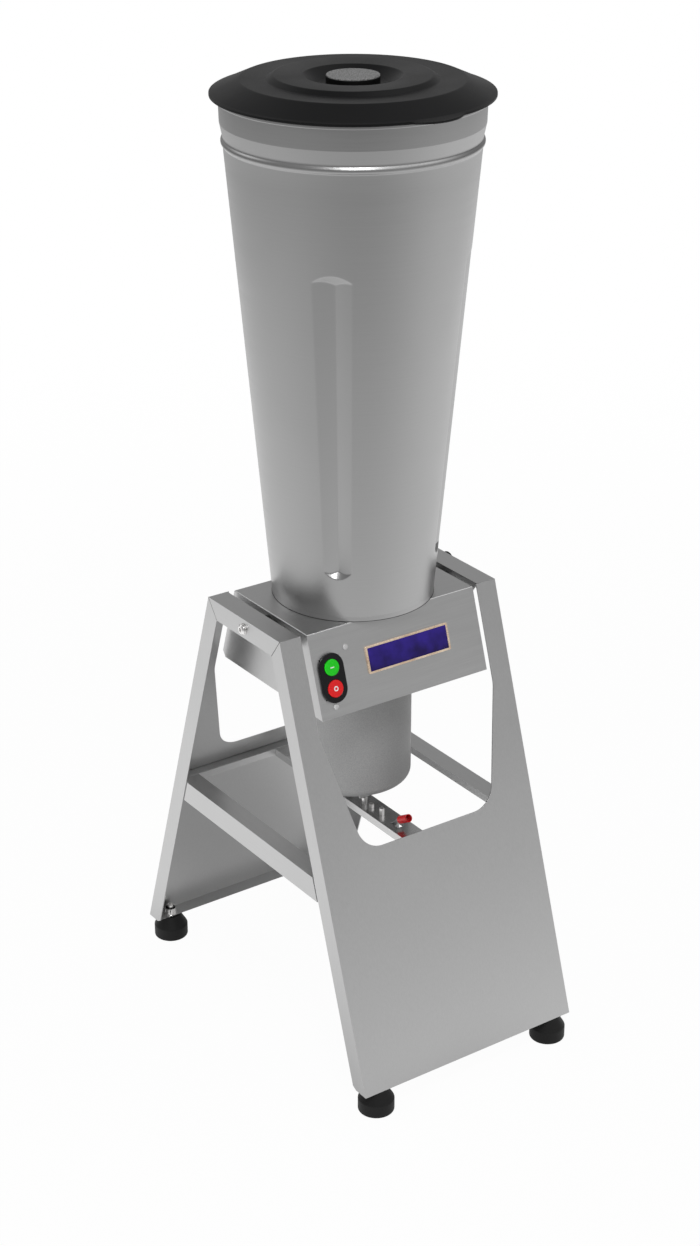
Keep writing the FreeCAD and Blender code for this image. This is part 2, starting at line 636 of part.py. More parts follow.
for side_name, sign, inward in (("left", "-", "X"), ("right", "", "-X")):
    washer_out = f"({half_width} + pivot_washer_thickness)"
    head_out = f"({washer_out} + pivot_head_edge + pivot_head_dome)"
    bush_out = f"({head_side} + bush_flange_thickness)"
    wall_in = f"({head_side} - sheet_thickness)"
    nut_out = f"({wall_in} - running_gap)"
    shank_end = f"({nut_out} - pivot_nut_height - thread_end)"
    bolt_dome = cone(
        f"bolt_dome_{side_name}", "pivot_head_radius - pivot_head_dome", "pivot_head_radius",
        "pivot_head_dome", f"{sign}{head_out}", "0", pivot_height, inward)
    bolt_rim = rod(
        f"bolt_rim_{side_name}", "pivot_head_radius", "pivot_head_edge",
        f"{sign}({washer_out} + pivot_head_edge)", "0", pivot_height, inward)
    bolt_socket = hexagon(
        f"bolt_socket_{side_name}", "pivot_socket_radius", "pivot_socket_depth",
        f"{sign}{head_out}", "0", pivot_height, inward)
    shank = rod(
        f"bolt_shank_{side_name}", "pivot_bolt_radius", f"{washer_out} - {shank_end}",
        f"{sign}{washer_out}", "0", pivot_height, inward)
    bolt_blank = fuse(f"bolt_blank_{side_name}", [bolt_dome, bolt_rim, shank])
    bolts.append(cut(f"bolt_{side_name}", bolt_blank, bolt_socket))
    bolt_bore = "pivot_bolt_radius + bore_clearance"
    washers.append(tube(
        f"washer_{side_name}", "pivot_washer_radius", bolt_bore, "pivot_washer_thickness",
        f"{sign}{washer_out}", "0", pivot_height, inward))
    rail_inside = f"({half_width} - rail_width)"
    spacers.append(tube(
        f"spacer_{side_name}", "pivot_spacer_radius", bolt_bore,
        f"{rail_inside} - {bush_out} - running_gap",
        f"{sign}{rail_inside}", "0", pivot_height, inward))
    pivot_nuts.append(tube(
        f"pivot_nut_{side_name}", "pivot_nut_radius", bolt_bore, "pivot_nut_height",
        f"{sign}{nut_out}", "0", pivot_height, inward))
    bush_flange = rod(
        f"bush_flange_{side_name}", "bush_flange_radius", "bush_flange_thickness",
        f"{sign}{bush_out}", "0", pivot_height, inward)
    bush_sleeve = rod(
        f"bush_sleeve_{side_name}", "bush_sleeve_radius", "bush_flange_thickness + sheet_thickness",
        f"{sign}{bush_out}", "0", pivot_height, inward)
    bush_bore = rod(
        f"bush_bore_{side_name}", bolt_bore, "bush_flange_thickness + sheet_thickness",
        f"{sign}{bush_out}", "0", pivot_height, inward)
    bush_solid = fuse(f"bush_solid_{side_name}", [bush_flange, bush_sleeve])
    bushes.append(cut(f"bush_{side_name}", bush_solid, bush_bore))
keep(group("pivot_bolts", bolts))
keep(group("pivot_washers", washers))
keep(group("pivot_spacers", spacers))
keep(group("pivot_nuts", pivot_nuts))
keep(group("pivot_bushes", bushes))

# Rubber grommet where the cable enters the right rail, just behind the pivot
cable_grommet = new_body("cable_grommet")
turned(cable_grommet, [
    ("grommet_bore_radius", "-(sheet_thickness + 2 * grommet_collar)"),
    ("grommet_neck_radius", "-(sheet_thickness + 2 * grommet_collar)"),
    ("grommet_radius", "-(sheet_thickness + grommet_collar)"),
    ("grommet_radius", "-sheet_thickness"),
    ("grommet_neck_radius", "-sheet_thickness"),
    ("grommet_neck_radius", "0"),
    ("grommet_radius", "0"),
    ("grommet_radius", "grommet_rim"),
    ("grommet_radius - (grommet_length - grommet_rim)", "grommet_length"),
    ("grommet_bore_radius", "grommet_length"),
])
turn_to(cable_grommet, "X")
put(cable_grommet, half_width, "grommet_offset", pivot_height)
keep(cable_grommet)

# Head: a folded box whose top is flush with the rails and carries the jug
head_low = "(stand_height - head_drop)"


def head_front(height):
    return f"({outer_face(height)} + front_proud * {stretch})"


def head_rear(height):
    return f"({outer_face(height)} - rear_inset * {stretch})"


head_cover = new_body("head_cover")
head_profile = polygon(new_sketch(head_cover, "YZ_Plane"), [
    (f"-{head_front('stand_height')}", "stand_height"),
    (f"-{head_front(head_low)}", head_low),
    (f"{head_rear(head_low)} - head_rear_chamfer", head_low),
    (f"{head_rear(head_low + ' + head_rear_chamfer')}", f"{head_low} + head_rear_chamfer"),
    (head_rear("stand_height"), "stand_height"),
])
pad(head_cover, head_profile, "head_width", both_ways=True)
fold_heights = [number("stand_height")]
head_ends = [-number(head_front("stand_height")), number(head_rear("stand_height"))]
round_edges(head_cover, "head_edge_radius", lambda edge: any(
    stands_at(edge, y=y, z=z) for y in head_ends for z in fold_heights) or any(
    stands_at(edge, x=side * number(head_side), z=fold_heights[0]) for side in (-1, 1)))
inside_top = "(stand_height - sheet_thickness)"
lip_top = "(stand_height - head_drop + sheet_thickness)"
skin = f"sheet_thickness * {stretch}"
hollow_profile = polygon(new_sketch(head_cover, "YZ_Plane"), [
    (f"-({head_front(inside_top)} - {skin})", inside_top),
    (f"-({head_front(lip_top)} - {skin})", lip_top),
    (f"-({head_front(lip_top)} - {skin} - head_lip)", lip_top),
    (f"-({head_front(lip_top)} - {skin} - head_lip)", f"{head_low} - {beyond}"),
    (f"{head_rear(head_low)} - head_rear_chamfer - head_lip", f"{head_low} - {beyond}"),
    (f"{head_rear(head_low)} - head_rear_chamfer - head_lip", lip_top),
    (f"{head_rear(lip_top)} - head_rear_chamfer - {skin}", lip_top),
    (f"{head_rear(lip_top + ' + head_rear_chamfer')} - {skin}", f"{lip_top} + head_rear_chamfer"),
    (f"{head_rear(inside_top)} - {skin}", inside_top),
])
pocket(head_cover, hollow_profile, "head_width - 2 * sheet_thickness", both_ways=True)
top_holes = new_sketch(head_cover, "XY_Plane", "stand_height")
circle(top_holes, "0", "0", "head_hub_hole")
for step in range(6):
    circle(
        top_holes, f"hub_screw_circle * cos({60 * step + 30})",
        f"hub_screw_circle * sin({60 * step + 30})", "hub_screw_radius + fit_clearance")
for step in range(4):
    circle(
        top_holes, f"standoff_circle * cos({90 * step + 45})",
        f"standoff_circle * sin({90 * step + 45})", "standoff_stud_radius + fit_clearance")
pocket(head_cover, top_holes, "2 * sheet_thickness")
pivot_holes = circle(
    new_sketch(head_cover, "YZ_Plane"), "0", pivot_height, "bush_sleeve_radius + bore_clearance")
pocket(head_cover, pivot_holes, "2 * head_width", both_ways=True)
# The switch block stands in an upright hole of the leaning front wall
switch_middle = f"(stand_height - switch_drop / {stretch})"
block_rise = f"((block_height / 2 + block_clearance) / {stretch})"
switch_window = rectangle(
    new_sketch(head_cover, "XZ_Plane"),
    "-(switch_offset + block_width / 2 + block_clearance)", f"{switch_middle} - {block_rise}",
    "-(switch_offset - block_width / 2 - block_clearance)", f"{switch_middle} + {block_rise}")
pocket(head_cover, switch_window, "base_depth", backwards=True)
screw_holes = new_sketch(head_cover, "XZ_Plane")
for place in ("upper", "lower"):
    circle(
        screw_holes, f"-{place}_screw_offset", f"stand_height - {place}_screw_drop / {stretch}",
        "face_screw_shank + 5 * fit_clearance")
pocket(head_cover, screw_holes, "base_depth", backwards=True)
keep(head_cover)

# Motor: a flange plate hung below the head's top on four standoffs, and a deep drawn can
motor_plate = new_body("motor_plate")
plate_top = "(motor_plate_height + motor_plate_thickness)"
plate_bore = "upper_bearing_radius + bore_clearance"
boss_low = "motor_plate_height - motor_spigot - bearing_shelf"
turned(motor_plate, [
    (plate_bore, f"{plate_top} - upper_bearing_width - bore_clearance"),
    (plate_bore, plate_top),
    ("motor_plate_radius", plate_top),
    ("motor_plate_radius", "motor_plate_height"),
    ("motor_radius - motor_wall - core_gap", "motor_plate_height"),
    ("motor_radius - motor_wall - core_gap", "motor_plate_height - motor_spigot"),
    ("motor_radius - motor_wall - spigot_wall", "motor_plate_height - motor_spigot"),
    ("motor_radius - motor_wall - spigot_wall", f"{plate_top} - plate_web"),
    ("upper_bearing_radius + bearing_boss_wall", f"{plate_top} - plate_web"),
    ("upper_bearing_radius + bearing_boss_wall", boss_low),
    ("shaft_radius + bearing_shelf", boss_low),
    ("shaft_radius + bearing_shelf", f"{plate_top} - upper_bearing_width - bore_clearance"),
])
keep(motor_plate)

standoffs = []
for step in range(4):
    spot_x = f"standoff_circle * cos({90 * step + 45})"
    spot_y = f"standoff_circle * sin({90 * step + 45})"
    standoffs.append(fuse(f"standoff_{step + 1}", [
        hexagon(f"standoff_post_{step + 1}", "standoff_radius", f"{inside_top} - {plate_top}",
                spot_x, spot_y, plate_top),
        rod(f"standoff_stud_{step + 1}", "standoff_stud_radius",
            "sheet_thickness + standoff_head_height", spot_x, spot_y, inside_top),
        rod(f"standoff_head_{step + 1}", "standoff_head_radius", "standoff_head_height",
            spot_x, spot_y, "stand_height"),
    ]))
keep(group("motor_standoffs", standoffs))

motor_housing = new_body("motor_housing")
can_inside = "(motor_radius - motor_wall)"
boss_bore = "(lower_bearing_radius + bore_clearance)"
can_floor = "(motor_bottom + motor_floor)"
turned(motor_housing, [
    ("0", "motor_bottom"),
    ("motor_radius", "motor_bottom"),
    ("motor_radius", "motor_plate_height"),
    (can_inside, "motor_plate_height"),
    (can_inside, "motor_bottom + motor_edge_radius"),
    (f"{can_inside} - motor_edge_radius + motor_floor", can_floor),
    ("lower_boss_radius", can_floor),
    ("lower_boss_radius", "lower_bearing_height + lower_bearing_width"),
    (boss_bore, "lower_bearing_height + lower_bearing_width"),
    (boss_bore, "lower_bearing_height"),
    ("0", "lower_bearing_height"),
])
round_edges(motor_housing, "motor_edge_radius", lambda edge: is_ring(
    edge, number("motor_radius"), number("motor_bottom")))
slot = rectangle(
    new_sketch(motor_housing, "XY_Plane", "motor_bottom"),
    "vent_slot_inner", "-vent_slot_width / 2", "vent_slot_outer", "vent_slot_width / 2")
slot_cut = pocket(motor_housing, slot, "motor_floor", backwards=True)
around(motor_housing, slot_cut, 7, 180)
keep(motor_housing)

core_top = "(core_height + core_length)"


def ring_node(label, inner, outer, bottom, top):
    owner = new_body(label)
    turned(owner, [(inner, bottom), (outer, bottom), (outer, top), (inner, top)])
    return keep(owner)


ring_node("stator_core", "stator_bore", f"{can_inside} - core_gap", "core_height", core_top)
coils = []
for end_name, coil_foot in (
        ("lower", "core_height - winding_length - seam_gap"), ("upper", f"{core_top} + seam_gap")):
    coils.append(tube(
        f"winding_{end_name}", "winding_outer", "winding_inner", "winding_length",
        "0", "0", coil_foot, "Z"))
keep(group("stator_winding", coils))
shaft_bore = "shaft_radius + bore_clearance"
ring_node("rotor_core", shaft_bore, "stator_bore - air_gap", "core_height", core_top)
ring_node(
    "upper_bearing", shaft_bore, "upper_bearing_radius",
    f"{plate_top} - upper_bearing_width", plate_top)
ring_node(
    "lower_bearing", "lower_shaft_radius + bore_clearance", "lower_bearing_radius",
    "lower_bearing_height + bore_clearance", "lower_bearing_height + lower_bearing_width")

motor_shaft = new_body("motor_shaft")
shaft_step = "(lower_bearing_height + lower_bearing_width + running_gap)"
turned(motor_shaft, [
    ("0", "lower_bearing_height + running_gap"),
    ("lower_shaft_radius", "lower_bearing_height + running_gap"),
    ("lower_shaft_radius", shaft_step),
    ("shaft_radius", shaft_step),
    ("shaft_radius", "motor_shaft_top"),
    ("0", "motor_shaft_top"),
])
keep(motor_shaft)

cooling_fan = new_body("cooling_fan")
turned(cooling_fan, [
    (shaft_bore, "fan_height"),
    ("fan_hub_radius", "fan_height"),
    ("fan_hub_radius", "fan_height + fan_thickness - fan_disc"),
    ("fan_radius", "fan_height + fan_thickness - fan_disc"),
    ("fan_radius", "fan_height + fan_thickness"),
    (shaft_bore, "fan_height + fan_thickness"),
])
blade_sketch = rectangle(
    new_sketch(cooling_fan, "XY_Plane", "fan_height"),
    "(shaft_radius + fan_hub_radius) / 2", "-fan_blade_thickness / 2",
    "fan_radius", "fan_blade_thickness / 2")
fan_blade = pad(cooling_fan, blade_sketch, "fan_thickness - fan_disc")
around(cooling_fan, fan_blade, 8)
keep(cooling_fan)

# Coupling, and the hub that seals the blade shaft through the jug's floor
drive_coupling = new_body("drive_coupling")
coupling_top = "(coupling_height + coupling_length)"
coupling_split = "((motor_shaft_top + blade_shaft_bottom) / 2)"
lower_bore = "blade_shaft_radius + bore_clearance"
turned(drive_coupling, [
    (shaft_bore, "coupling_height"),
    ("coupling_radius", "coupling_height"),
    ("coupling_radius", coupling_top),
    (lower_bore, coupling_top),
    (lower_bore, coupling_split),
    (shaft_bore, coupling_split),
])
keep(drive_coupling)

jug_floor = "jug_floor_height"
hub_housing = new_body("hub_housing")
seal_seat = "(hub_bearing_top + running_gap)"
turned(hub_housing, [
    ("hub_bearing_radius + bore_clearance", "hub_bottom"),
    ("hub_neck_radius", "hub_bottom"),
    ("hub_neck_radius", jug_floor),
    ("hub_flange_radius", jug_floor),
    ("hub_flange_radius", f"{jug_floor} + hub_flange_thickness"),
    ("hub_screw_circle - hub_screw_head - screw_seat_edge", f"{jug_floor} + hub_flange_thickness"),
    ("hub_neck_radius + hub_shoulder", f"{jug_floor} + hub_flange_thickness + hub_shoulder_rise"),
    ("hub_top_radius", "hub_top"),
    ("hub_mouth_radius", "hub_top"),
    ("hub_mouth_radius", "seal_top + running_gap"),
    ("seal_radius + bore_clearance", "seal_top + running_gap"),
    ("seal_radius + bore_clearance", seal_seat),
    ("hub_bearing_radius + bore_clearance", seal_seat),
])
flange_holes = new_sketch(hub_housing, "XY_Plane", jug_floor)
for step in range(6):
    circle(
        flange_holes, f"hub_screw_circle * cos({60 * step + 30})",
        f"hub_screw_circle * sin({60 * step + 30})", "hub_screw_radius + fit_clearance")
pocket(hub_housing, flange_holes, "2 * hub_flange_thickness", backwards=True)
keep(hub_housing)
ring_node(
    "hub_bearing", lower_bore, "hub_bearing_radius", "hub_bottom + bearing_inset", "hub_bearing_top")
ring_node("shaft_seal", lower_bore, "seal_radius", seal_seat, "seal_top")

blade_shaft = new_body("blade_shaft")
nut_roof = "(blade_height + blade_thickness + blade_nut_height - blade_nut_cap)"
spigot_top = f"({nut_roof} - spigot_end_gap)"
turned(blade_shaft, [
    ("0", "blade_shaft_bottom"),
    ("blade_shaft_radius", "blade_shaft_bottom"),
    ("blade_shaft_radius", "blade_height"),
    ("blade_spigot", "blade_height"),
    ("blade_spigot", spigot_top),
    ("0", spigot_top),
])
keep(blade_shaft)

# Blades: two bent strips crossed on one boss, one pair of tips raised and one lowered
blades = new_body("blades")
blade_top = "(blade_height + blade_thickness)"


def bent_strip(owner, role, rise):
    return polygon(new_sketch(owner, role), [
        ("-blade_flat", "blade_height"),
        ("blade_flat", "blade_height"),
        ("blade_reach", f"blade_height {rise}"),
        ("blade_reach", f"{blade_top} {rise} - blade_thickness / 2"),
        ("blade_flat", blade_top),
        ("-blade_flat", blade_top),
        ("-blade_reach", f"{blade_top} {rise} - blade_thickness / 2"),
        ("-blade_reach", f"blade_height {rise}"),
    ])


pad(blades, bent_strip(blades, "XZ_Plane", "+ blade_lift"), "blade_width", both_ways=True)
pad(blades, bent_strip(blades, "YZ_Plane", "- blade_fall"), "blade_width", both_ways=True)
blade_eye = circle(
    new_sketch(blades, "XY_Plane", "blade_height"), "0", "0", "blade_spigot + bore_clearance")
pocket(blades, blade_eye, "2 * blade_thickness", both_ways=True)
keep(blades)

blade_nut = new_body("blade_nut")
turned(blade_nut, [
    ("blade_spigot + bore_clearance", blade_top),
    ("blade_nut_radius", blade_top),
    ("blade_nut_radius", f"{blade_top} + blade_nut_height / 2"),
    ("blade_nut_end", f"{blade_top} + blade_nut_height"),
    ("0", f"{blade_top} + blade_nut_height"),
    ("0", nut_roof),
    ("blade_spigot + bore_clearance", nut_roof),
])
keep(blade_nut)

hub_screws = []
for step in range(6):
    spot_x = f"hub_screw_circle * cos({60 * step + 30})"
    spot_y = f"hub_screw_circle * sin({60 * step + 30})"
    screw_seat = f"({jug_floor} + hub_flange_thickness)"
    nut_foot = f"({inside_top} - hub_nut_height)"
    hub_screws.append(fuse(f"hub_screw_{step + 1}", [
        rod(f"hub_screw_head_{step + 1}", "hub_screw_head", "hub_screw_head_height",
            spot_x, spot_y, screw_seat),
        rod(f"hub_screw_shank_{step + 1}", "hub_screw_radius", f"{screw_seat} - {nut_foot}",
            spot_x, spot_y, nut_foot),
        hexagon(f"hub_screw_nut_{step + 1}", "hub_screw_head", "hub_nut_height",
                spot_x, spot_y, nut_foot),
    ]))
keep(group("hub_screws", hub_screws))

# Jug: a pressed floor with a standing rim, and the tapered wall with four inward flutes
jug_base = new_body("jug_base")
disc_low = f"({jug_floor} - base_disc_thickness)"
turned(jug_base, [
    ("hub_neck_radius + fit_clearance", disc_low),
    ("jug_base_radius - base_rim_width", disc_low),
    ("jug_base_radius - base_rim_width", "stand_height"),
    ("jug_base_radius", "stand_height"),
    ("jug_base_radius", jug_floor),
    ("hub_neck_radius + fit_clearance", jug_floor),
])
base_holes = new_sketch(jug_base, "XY_Plane", jug_floor)
for step in range(6):
    circle(
        base_holes, f"hub_screw_circle * cos({60 * step + 30})",
        f"hub_screw_circle * sin({60 * step + 30})", "hub_screw_radius + fit_clearance")
pocket(jug_base, base_holes, "2 * base_disc_thickness")
keep(jug_base)


def jug_form(label, inset, rim):
    owner = new_body(label)
    bead_top = "(taper_top_height + bead_height)"
    turned(owner, [
        ("0", jug_floor),
        (f"jug_base_radius - {inset}", jug_floor),
        (f"taper_top_radius - {inset}", "taper_top_height"),
        (f"taper_top_radius + bead_bulge - {inset}", "taper_top_height + bead_flank"),
        (f"taper_top_radius + bead_bulge - {inset}", f"{bead_top} - bead_flank"),
        (f"band_foot_radius - {inset}", bead_top),
        (f"band_foot_radius - {inset}", f"{bead_top} + band_foot_rise"),
        (f"collar_radius - {inset}", "band_top_height"),
    ] + rim + [("0", "jug_top_height")])
    return owner


outer_rim = [
    ("collar_top_radius", "jug_top_height - jug_rim_height - jug_rim_edge"),
    ("jug_rim_radius", "jug_top_height - jug_rim_height"),
    ("jug_rim_radius", "jug_top_height - jug_rim_edge"),
    ("jug_rim_radius - jug_rim_edge", "jug_top_height"),
]
inner_rim = [("collar_top_radius - jug_wall", "jug_top_height")]


# A flute is a V-shaped furrow that widens upwards, between an arched top and a dished floor.
# Its crease leans to one side on the way up, so that the furrow's two faces are unequal
flute_names = (
    "flute_floor_height", "flute_floor_rise", "flute_foot_depth", "flute_foot_half_width",
    "flute_top_depth", "flute_top_half_width", "flute_top_height", "flute_top_drop",
    "flute_arch_rise", "flute_floor_arch", "flute_crease_shift")
flute = {name[6:]: number(name) for name in flute_names}
wall_rate = (number("taper_top_radius") - number("jug_base_radius")) / (
    number("taper_top_height") - number(jug_floor))


def wall_radius(height):
    return number("jug_base_radius") + wall_rate * (height - number(jug_floor))


def flute_solid(inset):
    # The furrow is drawn at +X; its wall keeps the sheet's thickness on every side
    margin = 20  # how far the furrow's loft runs past its ends and past the wall
    low = flute["floor_height"] - margin
    high = flute["top_height"] + margin
    span = flute["top_height"] - flute["floor_height"]

    def section(height):
        share = (height - flute["floor_height"]) / span
        depth = flute["foot_depth"] + share * (flute["top_depth"] - flute["foot_depth"])
        half = flute["foot_half_width"] + share * (
            flute["top_half_width"] - flute["foot_half_width"])
        shift = share * flute["crease_shift"]
        wide = (half + shift) / depth  # sideways run of each face for one step outwards
        narrow = (half - shift) / depth
        wide_skew = inset * math.sqrt(1 + wide ** 2)
        narrow_skew = inset * math.sqrt(1 + narrow ** 2)
        back = (wide_skew + narrow_skew) / (wide + narrow)
        crease = wall_radius(height) - depth - back
        side = shift + narrow_skew - back * narrow
        outer = wall_radius(height) + margin
        corners = [
            (crease, side), (outer, side + (outer - crease) * narrow),
            (outer, side - (outer - crease) * wide)]
        points = [FreeCAD.Vector(x, y, height) for x, y in corners]
        return Part.makePolygon(points + points[:1])

    furrow = Part.makeLoft([section(low), section(high)], True, True)
    # Each end is part of a cylinder that lies across the wall along the end's sloping line
    top = end_drum(
        flute["top_height"], flute["top_drop"] / flute["top_depth"],
        flute["top_half_width"], flute["arch_rise"], inset, 1)
    floor = end_drum(
        flute["floor_height"], -flute["floor_rise"] / flute["foot_depth"],
        flute["foot_half_width"], flute["floor_arch"], inset, -1)
    return furrow.common(top).common(floor)


def end_drum(height, rate, half, arch, inset, way):
    # The space on the furrow's side of one end: the cylinder, and a prism from its axis onward
    length = 600  # of the cylinder, well past the furrow at both ends
    edge_radius = wall_radius(height)
    rise = arch / math.sqrt(1 + rate ** 2)
    radius = (half ** 2 + rise ** 2) / (2 * rise) + inset
    inward = FreeCAD.Vector(-1, 0, -rate).normalize()
    outward = FreeCAD.Vector(-rate, 0, 1).normalize() * way
    edge = FreeCAD.Vector(edge_radius, 0, height)
    axis_point = edge + outward * (inset - radius) - inward * (length / 2)
    drum = Part.makeCylinder(radius, length, axis_point, inward)
    span = flute["top_height"] - flute["floor_height"]
    side = FreeCAD.Vector(0, radius, 0)
    axis_end = axis_point + inward * length
    corners = [axis_point - side, axis_point + side, axis_end + side, axis_end - side]
    slab = Part.Face(Part.makePolygon(corners + corners[:1])).extrude(
        FreeCAD.Vector(0, 0, -2 * way * span))
    return drum.fuse(slab)


def flutes(label, inset):
    one = flute_solid(inset)
    copies = []
    for step in range(4):
        copy = one.copy()
        copy.rotate(FreeCAD.Vector(0, 0, 0), FreeCAD.Vector(0, 0, 1), 90 * step + 45)
        copies.append(copy)
    item = doc.addObject("Part::Feature", label)
    item.Shape = Part.makeCompound(copies)
    return item


outside = cut("jug_outside", jug_form("jug_outer_form", "0", outer_rim), flutes("outer_flutes", 0))
inside = cut(
    "jug_inside", jug_form("jug_inner_form", "jug_wall", inner_rim),
    flutes("inner_flutes", number("jug_wall")))
jug_body = cut("jug_body", outside, inside)
jug_body.Label = "jug_body"
keep(jug_body)

# Lid: a moulded dish with a shoulder, a step, a round recess for the cap and a pull tab in front
lid = new_body("lid")
lid_seat = "(jug_top_height + running_gap)"
turned(lid, [
    ("0", "plug_bottom_height"),
    ("plug_radius", "plug_bottom_height"),
    ("plug_radius", lid_seat),
    ("brim_seat_radius", lid_seat),
    ("brim_seat_radius", "brim_foot_height"),
    ("lid_brim_radius", "brim_foot_height"),
    ("lid_brim_radius", "brim_edge_height"),
    ("brim_inner_radius", "brim_inner_height"),
    ("lid_shoulder_radius", "lid_shoulder_height"),
    ("lid_ledge_radius", "lid_ledge_height"),
    ("lid_step_radius", "lid_step_height"),
    ("lid_crown_radius", "lid_crown_height"),
    ("recess_radius", "recess_height"),
    ("recess_floor_radius", "recess_floor_height"),
    ("0", "recess_floor_height"),
])
tab_sketch = circle(
    new_sketch(lid, "XY_Plane", "tab_bottom_height"), "0", "-tab_centre", "tab_radius")
pad(lid, tab_sketch, "tab_top_height - tab_bottom_height")
hollow_sketch = polygon(new_sketch(lid, "XZ_Plane"), [
    ("0", f"plug_bottom_height - {beyond}"),
    ("plug_radius - lid_thickness", f"plug_bottom_height - {beyond}"),
    ("plug_radius - lid_thickness", "brim_inner_height"),
    ("lid_shoulder_radius - lid_corner_shift", "lid_shoulder_height - lid_thickness"),
    ("lid_step_radius - lid_corner_shift", "lid_step_height - lid_thickness"),
    ("lid_crown_radius - lid_corner_shift", "lid_crown_height - lid_thickness"),
    ("recess_radius + lid_thickness / 2", "recess_height - lid_thickness"),
    ("recess_floor_radius + lid_thickness / 2", "recess_floor_height - lid_thickness"),
    ("cap_hole_radius", "recess_floor_height - lid_thickness"),
    ("cap_hole_radius", f"recess_floor_height + {beyond}"),
    ("0", f"recess_floor_height + {beyond}"),
])
hollow_cut = lid.newObject("PartDesign::Groove", "lid_hollow")
hollow_cut.Profile = hollow_sketch
hollow_cut.ReferenceAxis = (hollow_sketch, ["V_Axis"])
hollow_cut.Angle = 360
doc.recompute()
keep(lid)

ring_node(
    "lid_gasket", "plug_radius + bore_clearance", "plug_radius + bore_clearance + gasket_width",
    "gasket_foot_height", "gasket_foot_height + gasket_height")

lid_cap = new_body("lid_cap")
cap_seat = "(recess_floor_height + running_gap)"
disc_seat = "(cap_top_height + disc_thickness - disc_edge)"
turned(lid_cap, [
    ("0", f"{cap_seat} - cap_plug_length"),
    ("cap_plug_radius", f"{cap_seat} - cap_plug_length"),
    ("cap_plug_radius", cap_seat),
    ("cap_radius", cap_seat),
    ("cap_radius", "cap_top_height"),
    ("0", "cap_top_height"),
])
keep(lid_cap)
cap_disc = new_body("cap_disc")
turned(cap_disc, [
    ("0", "cap_top_height"),
    ("disc_radius", "cap_top_height"),
    ("disc_radius", disc_seat),
    ("disc_radius - disc_edge", "cap_top_height + disc_thickness"),
    ("0", "cap_top_height + disc_thickness"),
])
keep(cap_disc)


# Front fittings are drawn flat and then laid on the head's leaning front face
def on_face(item, x, drop):
    along = number(drop)
    turn = FreeCAD.Rotation(FreeCAD.Vector(1, 0, 0), 90 - lean)
    edge = FreeCAD.Vector(0, -number(head_front("stand_height")), number("stand_height"))
    item.Placement = FreeCAD.Placement(
        edge + turn.multVec(FreeCAD.Vector(number(x), -along, 0)), turn)
    return keep(item)


green_y = "(button_spacing / 2)"
switch_plate = new_body("switch_plate")
plate_outline = rectangle(
    new_sketch(switch_plate, "XY_Plane"),
    "-switch_width / 2", "-switch_height / 2", "switch_width / 2", "switch_height / 2")
pad(switch_plate, plate_outline, "switch_plate_thickness")
round_edges(switch_plate, "switch_width / 2 - corner_gap", lambda edge: any(
    stands_at(edge, x=sx * number("switch_width") / 2, y=sy * number("switch_height") / 2)
    for sx in (-1, 1) for sy in (-1, 1)))
button_holes = new_sketch(switch_plate, "XY_Plane", "switch_plate_thickness")
circle(button_holes, "0", green_y, "green_radius + button_clearance")
circle(button_holes, "0", f"-{green_y}", "red_radius + button_clearance")
pocket(switch_plate, button_holes, "2 * switch_plate_thickness")
on_face(switch_plate, "-switch_offset", "switch_drop")

switch_block = new_body("switch_block")
block_outline = rectangle(
    new_sketch(switch_block, "XY_Plane"),
    "-block_width / 2", "-block_height / 2", "block_width / 2", "block_height / 2")
pad(switch_block, block_outline, "block_depth", backwards=True)
button_wells = new_sketch(switch_block, "XY_Plane")
circle(button_wells, "0", green_y, "green_radius + 2 * button_clearance")
circle(button_wells, "0", f"-{green_y}", "red_radius + 2 * button_clearance")
pocket(switch_block, button_wells, "button_pocket_depth")
on_face(switch_block, "-switch_offset", "switch_drop")


def push_button(label, radius, middle_y):
    owner = new_body(label)
    turned(owner, [
        ("0", "-button_tail"),
        (radius, "-button_tail"),
        (radius, "button_stand_out - button_edge"),
        (f"{radius} - button_edge", "button_stand_out"),
        ("0", "button_stand_out"),
    ])
    return on_face(owner, "-switch_offset", f"switch_drop - ({middle_y})")


push_button("green_button", "green_radius", green_y)
push_button("red_button", "red_radius", f"-{green_y}")

face_screws = []
for place in ("upper", "lower"):
    screw = new_body(f"face_screw_{place}")
    turned(screw, [
        ("0", "-face_screw_shank_length"),
        ("face_screw_shank", "-face_screw_shank_length"),
        ("face_screw_shank", "0"),
        ("face_screw_radius", "0"),
        ("face_screw_radius", "face_screw_edge"),
        ("face_screw_crown", "face_screw_height"),
        ("0", "face_screw_height"),
    ])
    on_face(screw, f"-{place}_screw_offset", f"{place}_screw_drop")
    nodes.remove(screw)
    face_screws.append(screw)
keep(group("face_screws", face_screws))

nameplate = new_body("nameplate")


def plate_frame(owner, height, inset):
    return rectangle(
        new_sketch(owner, "XY_Plane", height),
        f"-(nameplate_width / 2 - {inset})", f"-(nameplate_height / 2 - {inset})",
        f"nameplate_width / 2 - {inset}", f"nameplate_height / 2 - {inset}")


pad(nameplate, plate_frame(nameplate, "0", "0"), "nameplate_thickness + nameplate_border_rise")
pocket(
    nameplate, plate_frame(nameplate, "nameplate_thickness + nameplate_border_rise", "nameplate_border"),
    "nameplate_border_rise")
round_edges(nameplate, "nameplate_corner_radius", lambda edge: any(
    stands_at(edge, x=sx * number("nameplate_width") / 2, y=sy * number("nameplate_height") / 2)
    for sx in (-1, 1) for sy in (-1, 1)))
on_face(nameplate, "nameplate_centre", "nameplate_drop")

